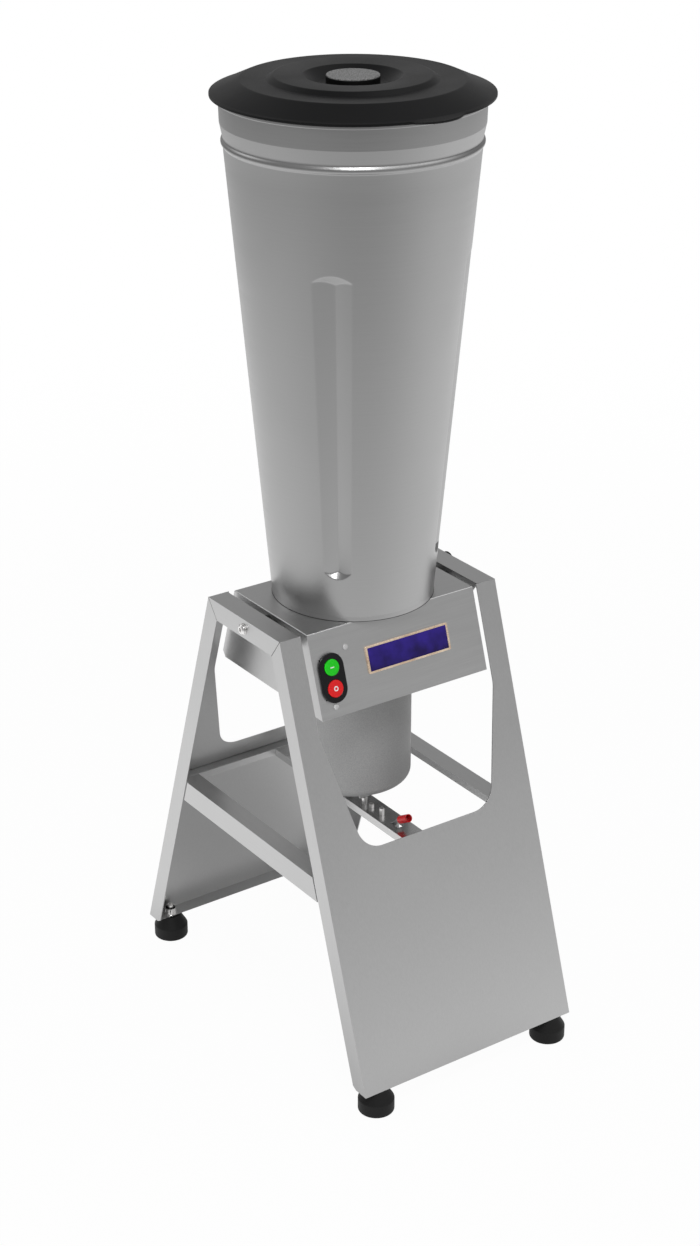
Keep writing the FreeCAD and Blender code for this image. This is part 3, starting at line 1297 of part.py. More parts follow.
# Tilt lock: a forked catch under the motor, and a pin that the red-handled lever lifts into it
catch_bracket = new_body("catch_bracket")
gap_side = "(catch_gap / 2)"
catch_out = f"({gap_side} + catch_wall)"
catch_under = "(motor_bottom - catch_plate)"
catch_section = polygon(new_sketch(catch_bracket, "YZ_Plane", pin_x), [
    (f"{pin_y} - catch_plate_half", "motor_bottom"),
    (f"{pin_y} - catch_plate_half", catch_under),
    (f"{pin_y} - {catch_out}", catch_under),
    (f"{pin_y} - {catch_out}", "catch_foot_height"),
    (f"{pin_y} - {gap_side}", "catch_foot_height"),
    (f"{pin_y} - {gap_side}", catch_under),
    (f"{pin_y} + {gap_side}", catch_under),
    (f"{pin_y} + {gap_side}", "catch_foot_height"),
    (f"{pin_y} + {catch_out}", "catch_foot_height"),
    (f"{pin_y} + {catch_out}", catch_under),
    (f"{pin_y} + catch_plate_half", catch_under),
    (f"{pin_y} + catch_plate_half", "motor_bottom"),
])
pad(catch_bracket, catch_section, "catch_width", both_ways=True)
keep(catch_bracket)

# Bracket: a web screwed under the bar and two cheeks that carry the fulcrum
lock_bracket = new_body("lock_bracket")
web_low = f"({bar_under} - bracket_web)"
web = rectangle(
    new_sketch(lock_bracket, "XY_Plane", web_low),
    "lock_line - bracket_half_width", "-bracket_web_front",
    "lock_line + bracket_half_width", "-bracket_rear")
pad(lock_bracket, web, "bracket_web")
cheeks = new_sketch(lock_bracket, "XY_Plane", "frame_height - bracket_drop")
for side in ("-", "+"):
    outer_x = f"lock_line {side} bracket_half_width"
    inner_x = f"lock_line {side} (bracket_half_width - bracket_cheek)"
    rectangle(
        cheeks, *((outer_x, "-bracket_cheek_front", inner_x, "-bracket_cheek_rear")
                  if side == "-" else
                  (inner_x, "-bracket_cheek_front", outer_x, "-bracket_cheek_rear")))
pad(lock_bracket, cheeks, "bracket_drop - bar_sheet")
bracket_holes = new_sketch(lock_bracket, "XY_Plane", bar_under)
circle(bracket_holes, pin_x, pin_y, "pin_radius + bore_clearance")
for screw_place in ("lock_screw_first", "lock_screw_second"):
    circle(bracket_holes, "lock_screw_x", f"-{screw_place}", "lock_screw_radius + bore_clearance")
pocket(lock_bracket, bracket_holes, "2 * bracket_web")
fulcrum_bore = circle(
    new_sketch(lock_bracket, "YZ_Plane"), "-fulcrum_y", fulcrum_z, "fulcrum_radius + bore_clearance")
pocket(lock_bracket, fulcrum_bore, "4 * bracket_half_width", both_ways=True)
keep(lock_bracket)

bracket_screws = []
for place in ("first", "second"):
    spot_y = f"-lock_screw_{place}"
    shank_foot = f"({web_low} + fit_clearance)"
    bracket_screws.append(fuse(f"bracket_screw_{place}", [
        rod(f"bracket_screw_shank_{place}", "lock_screw_radius", f"frame_height - {shank_foot}",
            "lock_screw_x", spot_y, shank_foot),
        hexagon(f"bracket_screw_head_{place}", "lock_head_radius", f"lock_head_{place}",
                "lock_screw_x", spot_y, "frame_height"),
    ]))
keep(group("lock_bracket_screws", bracket_screws))

fulcrum_end = "(bracket_half_width + running_gap)"
fulcrum_pin = fuse("lock_fulcrum_pin", [
    rod("fulcrum_shank", "fulcrum_radius", f"2 * {fulcrum_end}",
        f"lock_line - {fulcrum_end}", "-fulcrum_y", fulcrum_z, "X"),
    rod("fulcrum_head", "fulcrum_head_radius", "fulcrum_head_height",
        f"lock_line - {fulcrum_end} - fulcrum_head_height", "-fulcrum_y", fulcrum_z, "X"),
    rod("fulcrum_tail", "fulcrum_head_radius", "fulcrum_head_height",
        f"lock_line + {fulcrum_end}", "-fulcrum_y", fulcrum_z, "X"),
])
fulcrum_pin.Label = "lock_fulcrum_pin"
keep(fulcrum_pin)

# Lever: a bent strip on the fulcrum; its rear tip lies under the pin, its rod carries the grip
tip_height = "(frame_height - lever_tip_drop)"
tip_reach = "(fulcrum_y - pin_offset_y)"
grip_y = "(-grip_rear_y)"
grip_z = "(frame_height + grip_rear_rise)"
lever_arm = new_body("lever_arm")
arm_outline = polygon(new_sketch(lever_arm, "YZ_Plane", "lock_line"), [
    (pin_y, f"{tip_height} + lever_half_thickness"),
    ("-fulcrum_y + lever_half_thickness", f"{fulcrum_z} + lever_half_thickness"),
    (f"{grip_y} + lever_half_thickness", f"{grip_z} + lever_half_thickness"),
    (f"{grip_y} - lever_half_thickness", f"{grip_z} - lever_half_thickness"),
    ("-fulcrum_y - lever_half_thickness", f"{fulcrum_z} - lever_half_thickness"),
    (pin_y, f"{tip_height} - lever_half_thickness"),
])
pad(lever_arm, arm_outline, "2 * lever_half_width", both_ways=True)
lever_left = "lock_line - lever_half_width"
lever_tip = rod(
    "lever_tip", "lever_half_thickness", "2 * lever_half_width", lever_left, pin_y, tip_height, "X")
lever_eye = rod(
    "lever_eye", "lever_eye_radius", "2 * lever_half_width", lever_left, "-fulcrum_y", fulcrum_z, "X")
grip_turn = FreeCAD.Rotation(FreeCAD.Vector(1, 0, 0), 90 - number("grip_angle"))
grip_spot = FreeCAD.Vector(number("lock_line"), number(grip_y), number(grip_z))
lever_rod = doc.addObject("Part::Cylinder", "lever_rod")
lever_rod.setExpression("Radius", fx("lever_rod_radius"))
lever_rod.setExpression("Height", fx("grip_length - grip_mouth"))
lever_rod.Placement = FreeCAD.Placement(grip_spot, grip_turn)
lever_solid = fuse("lever_solid", [lever_arm, lever_tip, lever_eye, lever_rod])
lever_bore = rod(
    "lever_bore", "fulcrum_radius + bore_clearance", "4 * lever_half_width",
    "lock_line - 2 * lever_half_width", "-fulcrum_y", fulcrum_z, "X")
lock_lever = cut("lock_lever", lever_solid, lever_bore)
keep(lock_lever)

lock_grip = new_body("lock_grip")
turned(lock_grip, [
    ("lever_rod_radius + bore_clearance", "grip_edge"),
    ("grip_radius - grip_edge", "grip_edge"),
    ("grip_radius", "2 * grip_edge"),
    ("grip_radius", "grip_length"),
    ("grip_mouth_radius", "grip_length"),
    ("grip_mouth_radius", "grip_length - grip_mouth"),
    ("lever_rod_radius + bore_clearance", "grip_length - grip_mouth"),
])
lock_grip.Placement = FreeCAD.Placement(grip_spot, grip_turn)
keep(lock_grip)

lock_pin = new_body("lock_pin")
pin_top = "(frame_height + pin_rise)"
arm_rate = f"(({fulcrum_z} - {tip_height}) / ({tip_reach} - lever_half_thickness))"
pin_foot = f"({tip_height} + lever_half_thickness + {arm_rate} * pin_radius + 2 * running_gap)"
turned(lock_pin, [
    ("0", pin_foot),
    ("pin_radius", pin_foot),
    ("pin_radius", f"{pin_top} - pin_dome"),
    ("pin_radius - pin_dome", pin_top),
    ("0", pin_top),
])
put(lock_pin, pin_x, pin_y, "0")
keep(lock_pin)

# Check every piece before anything is written
doc.recompute()
for item in doc.Objects:
    if "Invalid" in item.State or "Error" in item.State:
        raise RuntimeError(f"{item.Name}: {item.State}")
for item in nodes:
    if item.Shape.isNull() or not item.Shape.isValid():
        raise RuntimeError(f"{item.Label}: bad shape")
for item in nodes:
    item.Shape.exportStep(f"parts/{item.Label}.step")
    box = item.Shape.BoundBox
    print(
        f"{item.Label}: {len(item.Shape.Solids)} solid(s), {item.Shape.Volume:.0f} mm3, "
        f"x {box.XMin:.1f}..{box.XMax:.1f} y {box.YMin:.1f}..{box.YMax:.1f} "
        f"z {box.ZMin:.1f}..{box.ZMax:.1f}")
print(len(nodes), "nodes")
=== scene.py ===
import bpy
import bmesh
import json
import math
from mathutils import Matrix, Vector


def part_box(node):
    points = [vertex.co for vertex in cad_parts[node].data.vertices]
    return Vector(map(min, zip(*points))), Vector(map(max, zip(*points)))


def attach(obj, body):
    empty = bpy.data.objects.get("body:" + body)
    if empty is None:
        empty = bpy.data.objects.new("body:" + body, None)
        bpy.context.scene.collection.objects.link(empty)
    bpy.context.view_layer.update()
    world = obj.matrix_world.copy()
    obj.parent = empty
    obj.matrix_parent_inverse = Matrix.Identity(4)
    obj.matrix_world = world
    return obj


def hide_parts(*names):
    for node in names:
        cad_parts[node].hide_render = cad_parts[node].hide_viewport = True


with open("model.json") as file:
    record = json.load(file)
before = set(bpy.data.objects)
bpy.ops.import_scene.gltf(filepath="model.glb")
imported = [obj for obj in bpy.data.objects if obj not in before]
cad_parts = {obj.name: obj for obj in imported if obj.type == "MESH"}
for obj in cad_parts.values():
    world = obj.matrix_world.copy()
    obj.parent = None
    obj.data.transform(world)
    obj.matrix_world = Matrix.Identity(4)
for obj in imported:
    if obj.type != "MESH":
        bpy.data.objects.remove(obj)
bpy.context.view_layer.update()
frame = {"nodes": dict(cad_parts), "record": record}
nodes = frame["nodes"]
mm = 0.001  # the frame is in metres, the dictionaries below are in millimetres

stand = {
    "fold": 0.45,           # how wide the folded sheet's rounded edges are
    "foldAngle": 28,        # degrees, gentler bends stay as they are
    "leanRun": 178.05,      # how far a panel leans out...
    "leanRise": 547.4,      # ...over this height
}
leanAngle = math.atan2(stand["leanRun"], stand["leanRise"])


# Nodes

noises = {"brushed": (5.0, 0.65), "pitted": (2.0, 0.5), "patchy": (3.0, 0.5)}  # detail, roughness
bumpRise = {"brushed": 0.0004, "pitted": 0.0003}  # metres
noiseSpan = (0.3, 0.7)  # where nearly all values of a noise lie


def put(tree, socket, value):
    # another node's output is linked to the socket, anything else becomes its value
    if isinstance(value, bpy.types.NodeSocket):
        tree.links.new(value, socket)
    else:
        socket.default_value = value


def filled(tree, node, values):
    for socket, value in zip(node.inputs, values):
        put(tree, socket, value)
    return node.outputs


def labelled(tree, kind, **values):
    # a node whose inputs are given by name, with _ for a space
    node = tree.nodes.new(kind)
    for label, value in values.items():
        put(tree, node.inputs[label.replace("_", " ")], value)
    return node.outputs


def mathNode(tree, operation, *values):
    node = tree.nodes.new("ShaderNodeMath")
    node.operation = operation
    return filled(tree, node, values)[0]


def vectorMath(tree, operation, *values):
    node = tree.nodes.new("ShaderNodeVectorMath")
    node.operation = operation
    isNumber = operation in ("LENGTH", "DISTANCE", "DOT_PRODUCT")
    return filled(tree, node, values)["Value" if isNumber else "Vector"]


def mapRange(tree, value, low, high, newLow, newHigh, kind="LINEAR"):
    node = tree.nodes.new("ShaderNodeMapRange")
    node.interpolation_type = kind
    return filled(tree, node, (value, low, high, newLow, newHigh))["Result"]


def combined(tree, *values):
    return filled(tree, tree.nodes.new("ShaderNodeCombineXYZ"), values)[0]


def mixed(tree, factor, first, second):
    return filled(tree, tree.nodes.new("ShaderNodeMixShader"), (factor, first, second))[0]


def separated(tree, vector):
    return labelled(tree, "ShaderNodeSeparateXYZ", Vector=vector)


def noiseNode(tree, vector, scale, detail, rough):
    return labelled(
        tree, "ShaderNodeTexNoise", Vector=vector, Scale=scale, Detail=detail, Roughness=rough)["Fac"]


def whereIs(tree, space="Object"):
    return tree.nodes.new("ShaderNodeTexCoord").outputs[space]


# Shader groups

def newGroup(name, inputs, outputs):
    # sockets by label, with their first value; three numbers make a vector
    group = bpy.data.node_groups.new(name, "ShaderNodeTree")
    for way, sockets in (("INPUT", inputs), ("OUTPUT", outputs)):
        for label, value in sockets.items():
            kind = "NodeSocketVector" if isinstance(value, tuple) else "NodeSocketFloat"
            socket = group.interface.new_socket(name=label, in_out=way, socket_type=kind)
            socket.default_value = value
    return group, group.nodes.new("NodeGroupInput").outputs, group.nodes.new("NodeGroupOutput").inputs


def grainGroup(name, sizes, pattern, rise):
    # puts out a grain and the normal of its bumps, which stand this high in metres
    group, given, result = newGroup(
        name, {**sizes, "Depth": 0.1}, {"Grain": 0.0, "Normal": (0.0, 0.0, 0.0)})
    grain = pattern(group, given, whereIs(group))
    bump = labelled(group, "ShaderNodeBump", Height=grain, Strength=given["Depth"], Distance=rise)
    group.links.new(grain, result["Grain"])
    group.links.new(bump["Normal"], result["Normal"])
    return group


def straightLines(group, given, place):
    # brush lines along the axis whose Stretch value is small
    stretched = vectorMath(group, "MULTIPLY", place, given["Stretch"])
    return noiseNode(group, stretched, given["Density"], *noises["brushed"])


def roundLines(group, given, place):
    # brush lines that run round the upright axis, as on a spun or rolled shell
    x, y, z = separated(group, place)
    radius = vectorMath(group, "LENGTH", combined(group, x, y))
    safeRadius = mathNode(group, "MAXIMUM", radius, 0.001)
    # the unit circle times a small number has no seam
    around = [mathNode(group, "MULTIPLY", mathNode(group, "DIVIDE", side, safeRadius), given["Around"])
              for side in (x, y)]
    rise = mathNode(group, "MULTIPLY", mathNode(group, "ADD", z, radius), given["Density"])
    return noiseNode(group, combined(group, *around, rise), 1.0, *noises["brushed"])


def finePits(group, given, place):
    # fine moulded or rubber skin
    return noiseNode(group, place, given["Density"], *noises["pitted"])


def buildSmudges():
    # broad soft patches, for handling marks and uneven sheen
    group, given, result = newGroup(
        "smudges", {"Size": 9.0, "Low": 0.0, "High": 1.0}, {"Amount": 0.0})
    patch = noiseNode(group, whereIs(group), given["Size"], *noises["patchy"])
    group.links.new(mapRange(group, patch, *noiseSpan, given["Low"], given["High"]), result["Amount"])
    return group


straightGrain = grainGroup("straightGrain", {"Stretch": (1.0, 1.0, 0.02), "Density": 900.0},
                           straightLines, bumpRise["brushed"])
roundGrain = grainGroup("roundGrain", {"Around": 1.2, "Density": 700.0}, roundLines,
                        bumpRise["brushed"])
mouldGrain = grainGroup("mouldGrain", {"Density": 900.0}, finePits, bumpRise["pitted"])
smudges = buildSmudges()
print("shader groups ready")


# Materials

sheetLook = {"colour": (0.6, 0.6, 0.6), "roughness": 0.38, "spread": 0.04, "depth": 0.1,
             "density": 700.0, "patchSize": 7.0, "patch": 0.02, "toneSpan": noiseSpan,
             "tones": (0.965, 1.035)}
skinLook = {"spread": 0.03, "density": 900.0, "patchSize": 12.0, "patch": 0.04,
            "toneSpan": (0.35, 0.65), "tones": (0.9, 1.1), "gloss": 0.5}


def placeGroup(tree, group, **values):
    node = tree.nodes.new("ShaderNodeGroup")
    node.node_tree = group
    for label, value in values.items():
        node.inputs[label].default_value = value
    return node.outputs


def tint(tree, amount, darker, lighter):
    node = tree.nodes.new("ShaderNodeMix")
    node.data_type = "RGBA"
    tree.links.new(amount, node.inputs["Factor"])
    node.inputs["A"].default_value = (*darker, 1)
    node.inputs["B"].default_value = (*lighter, 1)
    return node.outputs["Result"]


def newMaterial(name):
    material = bpy.data.materials.new(name)
    material.use_nodes = True
    tree = material.node_tree
    return material, tree, tree.nodes["Principled BSDF"].inputs


def dress(tree, shader, grain, look):
    # tone and roughness follow the grain, and broad patches change the sheen
    low, high = (tuple(channel * factor for channel in look["colour"]) for factor in look["tones"])
    tone = mapRange(tree, grain["Grain"], *look["toneSpan"], 0.0, 1.0)
    put(tree, shader["Base Color"], tint(tree, tone, low, high))
    patch = placeGroup(tree, smudges, Size=look["patchSize"], Low=-look["patch"], High=look["patch"])
    rough = mapRange(tree, grain["Grain"], *noiseSpan, look["roughness"] - look["spread"],
                     look["roughness"] + look["spread"])
    put(tree, shader["Roughness"], mathNode(tree, "ADD", rough, patch["Amount"]))
    put(tree, shader["Normal"], grain["Normal"])


def steel(name, look):
    # brushed metal: the lines are straight where the look has a stretch, else they run round
    look = {**sheetLook, **look}
    material, tree, shader = newMaterial(name)
    shader["Metallic"].default_value = 1.0
    if "stretch" in look:
        group, way = straightGrain, {"Stretch": look["stretch"]}
    else:
        group, way = roundGrain, {"Around": look["around"]}
    grain = placeGroup(tree, group, Density=look["density"], Depth=look["depth"], **way)
    dress(tree, shader, grain, look)
    return material


def moulded(name, look):
    # plastics, paints and rubbers
    look = {**skinLook, **look}
    material, tree, shader = newMaterial(name)
    shader["Specular IOR Level"].default_value = look["gloss"]
    grain = placeGroup(tree, mouldGrain, Density=look["density"], Depth=look["depth"])
    dress(tree, shader, grain, look)
    return material


along = {"x": (0.02, 1, 1), "y": (1, 0.02, 1), "z": (1, 1, 0.02)}
steels = {
    "panelSteel": {"stretch": along["z"]},
    "railSteel": {"stretch": along["y"]},
    "crossSteel": {"stretch": along["x"]},
    "barSteel": {"stretch": along["y"], "roughness": 0.22, "depth": 0.05, "spread": 0.03},
    "headSteel": {"stretch": along["x"]},
    # a darker copy of the sheet steel; on the lock lever, under the lock bar, this darkness is painted
    # shade
    "bracketSteelAndShade": {"stretch": along["x"], "colour": (0.46, 0.46, 0.46)},
    "jugSteel": {"around": 1.5, "roughness": 0.34, "depth": 0.05, "tones": (0.975, 1.025),
                 "colour": (0.43, 0.43, 0.43)},
    "hubSteel": {"around": 1.0, "roughness": 0.25, "colour": (0.5, 0.5, 0.5)},
    "bladeSteel": {"stretch": along["x"], "roughness": 0.2, "colour": (0.5, 0.5, 0.5)},
    "brightSteel": {"around": 0.8, "roughness": 0.3, "colour": (0.92, 0.91, 0.9), "depth": 0.05},
    "bearingSteel": {"around": 0.8, "roughness": 0.15},
    "castMetal": {"around": 0.6, "roughness": 0.5, "density": 300.0, "depth": 0.4},
    "coreIron": {"around": 0.2, "roughness": 0.5, "colour": (0.12, 0.1, 0.09), "density": 1500.0,
                 "tones": (0.7, 1.3)},
    "copperWire": {"around": 3.0, "roughness": 0.3, "colour": (0.6, 0.24, 0.1), "density": 900.0,
                   "tones": (0.7, 1.3), "depth": 0.5},
}
mouldings = {
    "blackRubber": {"colour": (0.006, 0.006, 0.006), "roughness": 0.5, "depth": 0.25, "gloss": 0.3},
    "sealRubber": {"colour": (0.02, 0.02, 0.02), "roughness": 0.5, "depth": 0.1},
    "lidPlastic": {"colour": (0.004, 0.004, 0.0044), "roughness": 0.4, "depth": 0.06, "gloss": 0.2},
    "capPlastic": {"colour": (0.002, 0.002, 0.002), "roughness": 0.4, "depth": 0.1, "gloss": 0.3},
    "discPlastic": {"colour": (0.195, 0.195, 0.195), "roughness": 0.6, "depth": 0.5,
                    "density": 650.0, "tones": (0.5, 1.45), "gloss": 0.3},
    "bushPlastic": {"colour": (0.012, 0.012, 0.012), "roughness": 0.45, "depth": 0.05},
    "fanPlastic": {"colour": (0.02, 0.02, 0.02), "roughness": 0.5, "depth": 0.1},
    "motorPaint": {"colour": (0.31, 0.31, 0.31), "roughness": 0.5, "depth": 0.05, "gloss": 0.4},
    "switchPlastic": {"colour": (0.004, 0.004, 0.005), "roughness": 0.22, "depth": 0.03,
                      "gloss": 0.4},
    "greenPlastic": {"colour": (0.012, 0.6, 0.012), "roughness": 0.25, "depth": 0.03,
                     "gloss": 0.35},
    "redPlastic": {"colour": (0.75, 0.012, 0.014), "roughness": 0.25, "depth": 0.03, "gloss": 0.35},
    "gripPlastic": {"colour": (0.6, 0.008, 0.012), "roughness": 0.22, "depth": 0.03, "gloss": 0.4},
    "screwPaint": {"colour": (0.5, 0.5, 0.5), "roughness": 0.45, "depth": 0.05},
    "seamShadow": {"colour": (0.02, 0.02, 0.02), "roughness": 0.7, "depth": 0.05, "gloss": 0.1},
    "markWhite": {"colour": (0.85, 0.85, 0.85), "roughness": 0.4, "depth": 0.02},
}
materials = {name: steel(name, look) for name, look in steels.items()}
materials.update({name: moulded(name, look) for name, look in mouldings.items()})


lacquer = {
    "roughness": 0.2, "gloss": 0.3, "grainDensity": 350.0, "grainDepth": 0.25, "cloudSize": 60.0,
    "cloud": 0.35, "foot": (0.012, 0.005, 0.08), "top": (0.03, 0.014, 0.24),
}


def lacqueredPlate():
    # a blue-violet lacquered field, a little cloudy, that lightens towards the top
    material, tree, shader = newMaterial("blueLacquer")
    shader["Roughness"].default_value = lacquer["roughness"]
    shader["Specular IOR Level"].default_value = lacquer["gloss"]
    low, high = (corner[2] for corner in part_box("nameplate"))
    rise = mapRange(tree, separated(tree, whereIs(tree))["Z"], low, high, 0.0, 1.0)
    cloud = placeGroup(
        tree, smudges, Size=lacquer["cloudSize"], Low=-lacquer["cloud"], High=lacquer["cloud"])
    lightness = mathNode(tree, "ADD", rise, cloud["Amount"])
    put(tree, shader["Base Color"], tint(tree, lightness, lacquer["foot"], lacquer["top"]))
    grain = placeGroup(
        tree, mouldGrain, Density=lacquer["grainDensity"], Depth=lacquer["grainDepth"])
    put(tree, shader["Normal"], grain["Normal"])
    return material


rimMetal = {
    "metallic": 0.35, "grainDensity": 500.0, "grainDepth": 0.1, "rubSize": 40.0,
    "dull": (0.62, 0.44, 0.31), "rubbed": (0.96, 0.79, 0.6), "smoothest": 0.22, "roughest": 0.34,
}


def copperGold():
    # the plate's raised rim: pale copper, brighter where it was rubbed
    material, tree, shader = newMaterial("copperGold")
    shader["Metallic"].default_value = rimMetal["metallic"]
    grain = placeGroup(
        tree, mouldGrain, Density=rimMetal["grainDensity"], Depth=rimMetal["grainDepth"])
    rub = placeGroup(tree, smudges, Size=rimMetal["rubSize"], Low=0.0, High=1.0)
    put(tree, shader["Base Color"], tint(tree, rub["Amount"], rimMetal["dull"], rimMetal["rubbed"]))
    rough = mapRange(tree, grain["Grain"], *noiseSpan, rimMetal["smoothest"], rimMetal["roughest"])
    put(tree, shader["Roughness"], rough)
    put(tree, shader["Normal"], grain["Normal"])
    return material


materials["blueLacquer"] = lacqueredPlate()
materials["copperGold"] = copperGold()

finishes = {
    "panelSteel": ["front_panel", "rear_panel"],
    "railSteel": ["left_rail", "right_rail", "left_side_member", "right_side_member"],
    "crossSteel": ["front_cross_member", "rear_cross_member"],
    "barSteel": ["lock_bar", "lock_bracket"],
    "headSteel": ["head_cover"],
    # the lock lever wears the darker steel as painted shade
    "bracketSteelAndShade": ["catch_bracket", "lock_fulcrum_pin", "lock_lever"],
    "motorPaint": ["motor_housing"],
    "jugSteel": ["jug_body", "jug_base"],
    "hubSteel": ["hub_housing", "blade_shaft", "blade_nut", "motor_shaft", "drive_coupling"],
    "bladeSteel": ["blades"],
    "brightSteel": ["foot_studs", "foot_nuts", "pivot_bolts", "pivot_washers", "pivot_nuts",
                    "lock_bracket_screws", "motor_standoffs", "hub_screws", "lock_pin"],
    "bearingSteel": ["upper_bearing", "lower_bearing", "hub_bearing"],
    "castMetal": ["motor_plate"],
    "coreIron": ["stator_core", "rotor_core"],
    "copperWire": ["stator_winding"],
    "blackRubber": ["foot_front_left", "foot_front_right", "foot_rear_left", "foot_rear_right",
                    "cable_grommet"],
    "sealRubber": ["lid_gasket", "shaft_seal"],
    "lidPlastic": ["lid"],
    "capPlastic": ["lid_cap"],
    "discPlastic": ["cap_disc"],
    "bushPlastic": ["pivot_bushes", "pivot_spacers"],
    "fanPlastic": ["cooling_fan"],
    "switchPlastic": ["switch_plate", "switch_block"],
    "screwPaint": ["face_screws"],
    "greenPlastic": ["green_button"],
    "redPlastic": ["red_button"],
    "gripPlastic": ["lock_grip"],
    "blueLacquer": ["nameplate"],
}
finishOf = {node: finish for finish, group in finishes.items() for node in group}
bodyOf = {node: body for body, group in frame["record"]["behaviour"]["bodies"].items() for node in group}
for nodeName, finish in finishOf.items():
    mesh = nodes[nodeName].data
    mesh.materials.clear()
    mesh.materials.append(materials[finish])
print("materials ready on", len(finishOf), "nodes")


# Mesh helpers

meshing = {
    "weld": 1e-6,           # metres, points of a made piece that lie closer become one
    "cadWeld": 2e-6,        # the same for a copy of a CAD node
    "flatAngle": 1.0,       # degrees, CAD faces that bend less become one
    "mostReach": 0.49,      # how much of a side a corner's arc may take, so that arcs never meet
    "bandAngle": 35,        # degrees, sharper bends stay hard on the plate and the marks
    "screwAngle": 30,       # the same on the screw sets
}


def newPiece(name, vertices, faces, material):
    mesh = bpy.data.meshes.new(name)
    mesh.from_pydata([tuple(point) for point in vertices], [], faces)
    mesh.validate()
    mesh.materials.append(material)
    piece = bpy.data.objects.new(name, mesh)
    bpy.context.scene.collection.objects.link(piece)
    return piece


def smooth(piece, degrees):
    for polygon in piece.data.polygons:
        polygon.use_smooth = True
    piece.data.set_sharp_from_angle(angle=math.radians(degrees))
    return piece


def outward(piece):
    work = bmesh.new()
    work.from_mesh(piece.data)
    bmesh.ops.remove_doubles(work, verts=work.verts, dist=meshing["weld"])
    bmesh.ops.recalc_face_normals(work, faces=work.faces)
    work.to_mesh(piece.data)
    work.free()
    return piece


def standIn(piece, *replaced):
    # the piece takes over the look of one or more CAD nodes
    first = replaced[0]
    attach(piece, bodyOf[first])
    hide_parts(*replaced)
    return piece


def extra(piece, host):
    # a small addition that moves with the body of its host node
    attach(piece, bodyOf[host])
    return piece


def baked(piece):
    graph = bpy.context.evaluated_depsgraph_get()
    mesh = bpy.data.meshes.new_from_object(piece.evaluated_get(graph))
    piece.modifiers.clear()
    piece.data = mesh
    return piece


def softened(nodeName, width, segments):
    # a merged copy of a CAD node whose hard edges are rounded off
    source = nodes[nodeName].data.copy()
    work = bmesh.new()
    work.from_mesh(source)
    bmesh.ops.remove_doubles(work, verts=work.verts, dist=meshing["cadWeld"])
    flat = math.radians(meshing["flatAngle"])
    bmesh.ops.dissolve_limit(work, angle_limit=flat, verts=work.verts, edges=work.edges)
    work.to_mesh(source)
    work.free()
    piece = bpy.data.objects.new(nodeName + "Soft", source)
    bpy.context.scene.collection.objects.link(piece)
    smooth(piece, stand["foldAngle"])
    bevel = piece.modifiers.new("round", "BEVEL")
    bevel.width = width * mm
    bevel.segments = segments
    bevel.limit_method = "ANGLE"
    bevel.angle_limit = math.radians(stand["foldAngle"])
    bevel.use_clamp_overlap = True
    bevel.miter_outer = "MITER_ARC"
    weigh = piece.modifiers.new("weigh", "WEIGHTED_NORMAL")  # keeps the flats flat
    weigh.mode = "FACE_AREA"
    weigh.keep_sharp = False
    baked(piece)
    return standIn(piece, nodeName)


def spun(name, profile, angles, material, reshape=None):
    # a closed profile of (radius, height) turned round the upright axis, with a column at each angle
    rings = []
    vertices = []
    for angle in angles:
        ring = []
        for index, (radius, height) in enumerate(profile):
            if reshape:
                radius, height = reshape(angle, index, radius, height)
            ring.append(len(vertices))
            vertices.append((radius * math.cos(angle) * mm, radius * math.sin(angle) * mm, height * mm))
        rings.append(ring)
    faces = []
    count = len(profile)
    for column, here in enumerate(rings):
        after = rings[(column + 1) % len(rings)]
        for index in range(count):
            following = (index + 1) % count
            faces.append((here[index], after[index], after[following], here[following]))
    return outward(newPiece(name, vertices, faces, material))


def roundedPath(corners, steps=5):
    # corners: (radius, height, rounding); arcs replace the corners that have a rounding
    points = []
    count = len(corners)
    for index, (x, y, fillet) in enumerate(corners):
        if fillet <= 0 or index in (0, count - 1):
            points.append((x, y))
            continue
        here = Vector((x, y))
        before = Vector(corners[index - 1][:2]) - here
        after = Vector(corners[index + 1][:2]) - here
        reach = min(fillet, *(way.length * meshing["mostReach"] for way in (before, after)))
        start = here + before.normalized() * reach
        end = here + after.normalized() * reach
        for step in range(steps + 1):
            share = step / steps
            rest = 1 - share
            point = start * rest ** 2 + here * (2 * share * rest) + end * share ** 2
            points.append((point.x, point.y))
    return points


# CAD nodes with their edges eased, by how wide the rounding is

eased = {
    stand["fold"]: [
        "front_panel", "rear_panel", "left_rail", "right_rail", "left_side_member",
        "right_side_member", "front_cross_member", "rear_cross_member", "lock_bar"],
    0.15: ["jug_base"],
    0.6: ["motor_housing", "catch_bracket", "lock_bracket", "hub_housing"],
    0.4: ["pivot_spacers", "pivot_bushes", "lid_cap", "motor_plate", "lock_lever", "lock_grip"],
    0.3: ["pivot_bolts", "pivot_washers", "pivot_nuts", "lock_pin", "face_screws", "cap_disc",
          "lock_bracket_screws", "lock_fulcrum_pin", "blades", "blade_nut", "blade_shaft",
          "lid_gasket"],
    1.0: ["head_cover", "foot_front_left", "foot_front_right", "foot_rear_left", "foot_rear_right",
          "switch_plate", "cable_grommet"],
    0.8: ["green_button", "red_button"],
}
wideEase = 0.7  # millimetres, a wider rounding gets a third segment
for width, names in eased.items():
    for nodeName in names:
        softened(nodeName, width, 3 if width > wideEase else 2)
print("eased", sum(len(names) for names in eased.values()), "nodes")


# Seams where the rails are mitred to the panels

seam = {"width": 0.7, "gap": 0.15, "raise": 0.05, "depth": 0.5, "near": 0.2}
boxSides = ((0, 1, 3, 2), (4, 5, 7, 6), (0, 1, 5, 4), (2, 3, 7, 6), (0, 2, 6, 4), (1, 3, 7, 5))


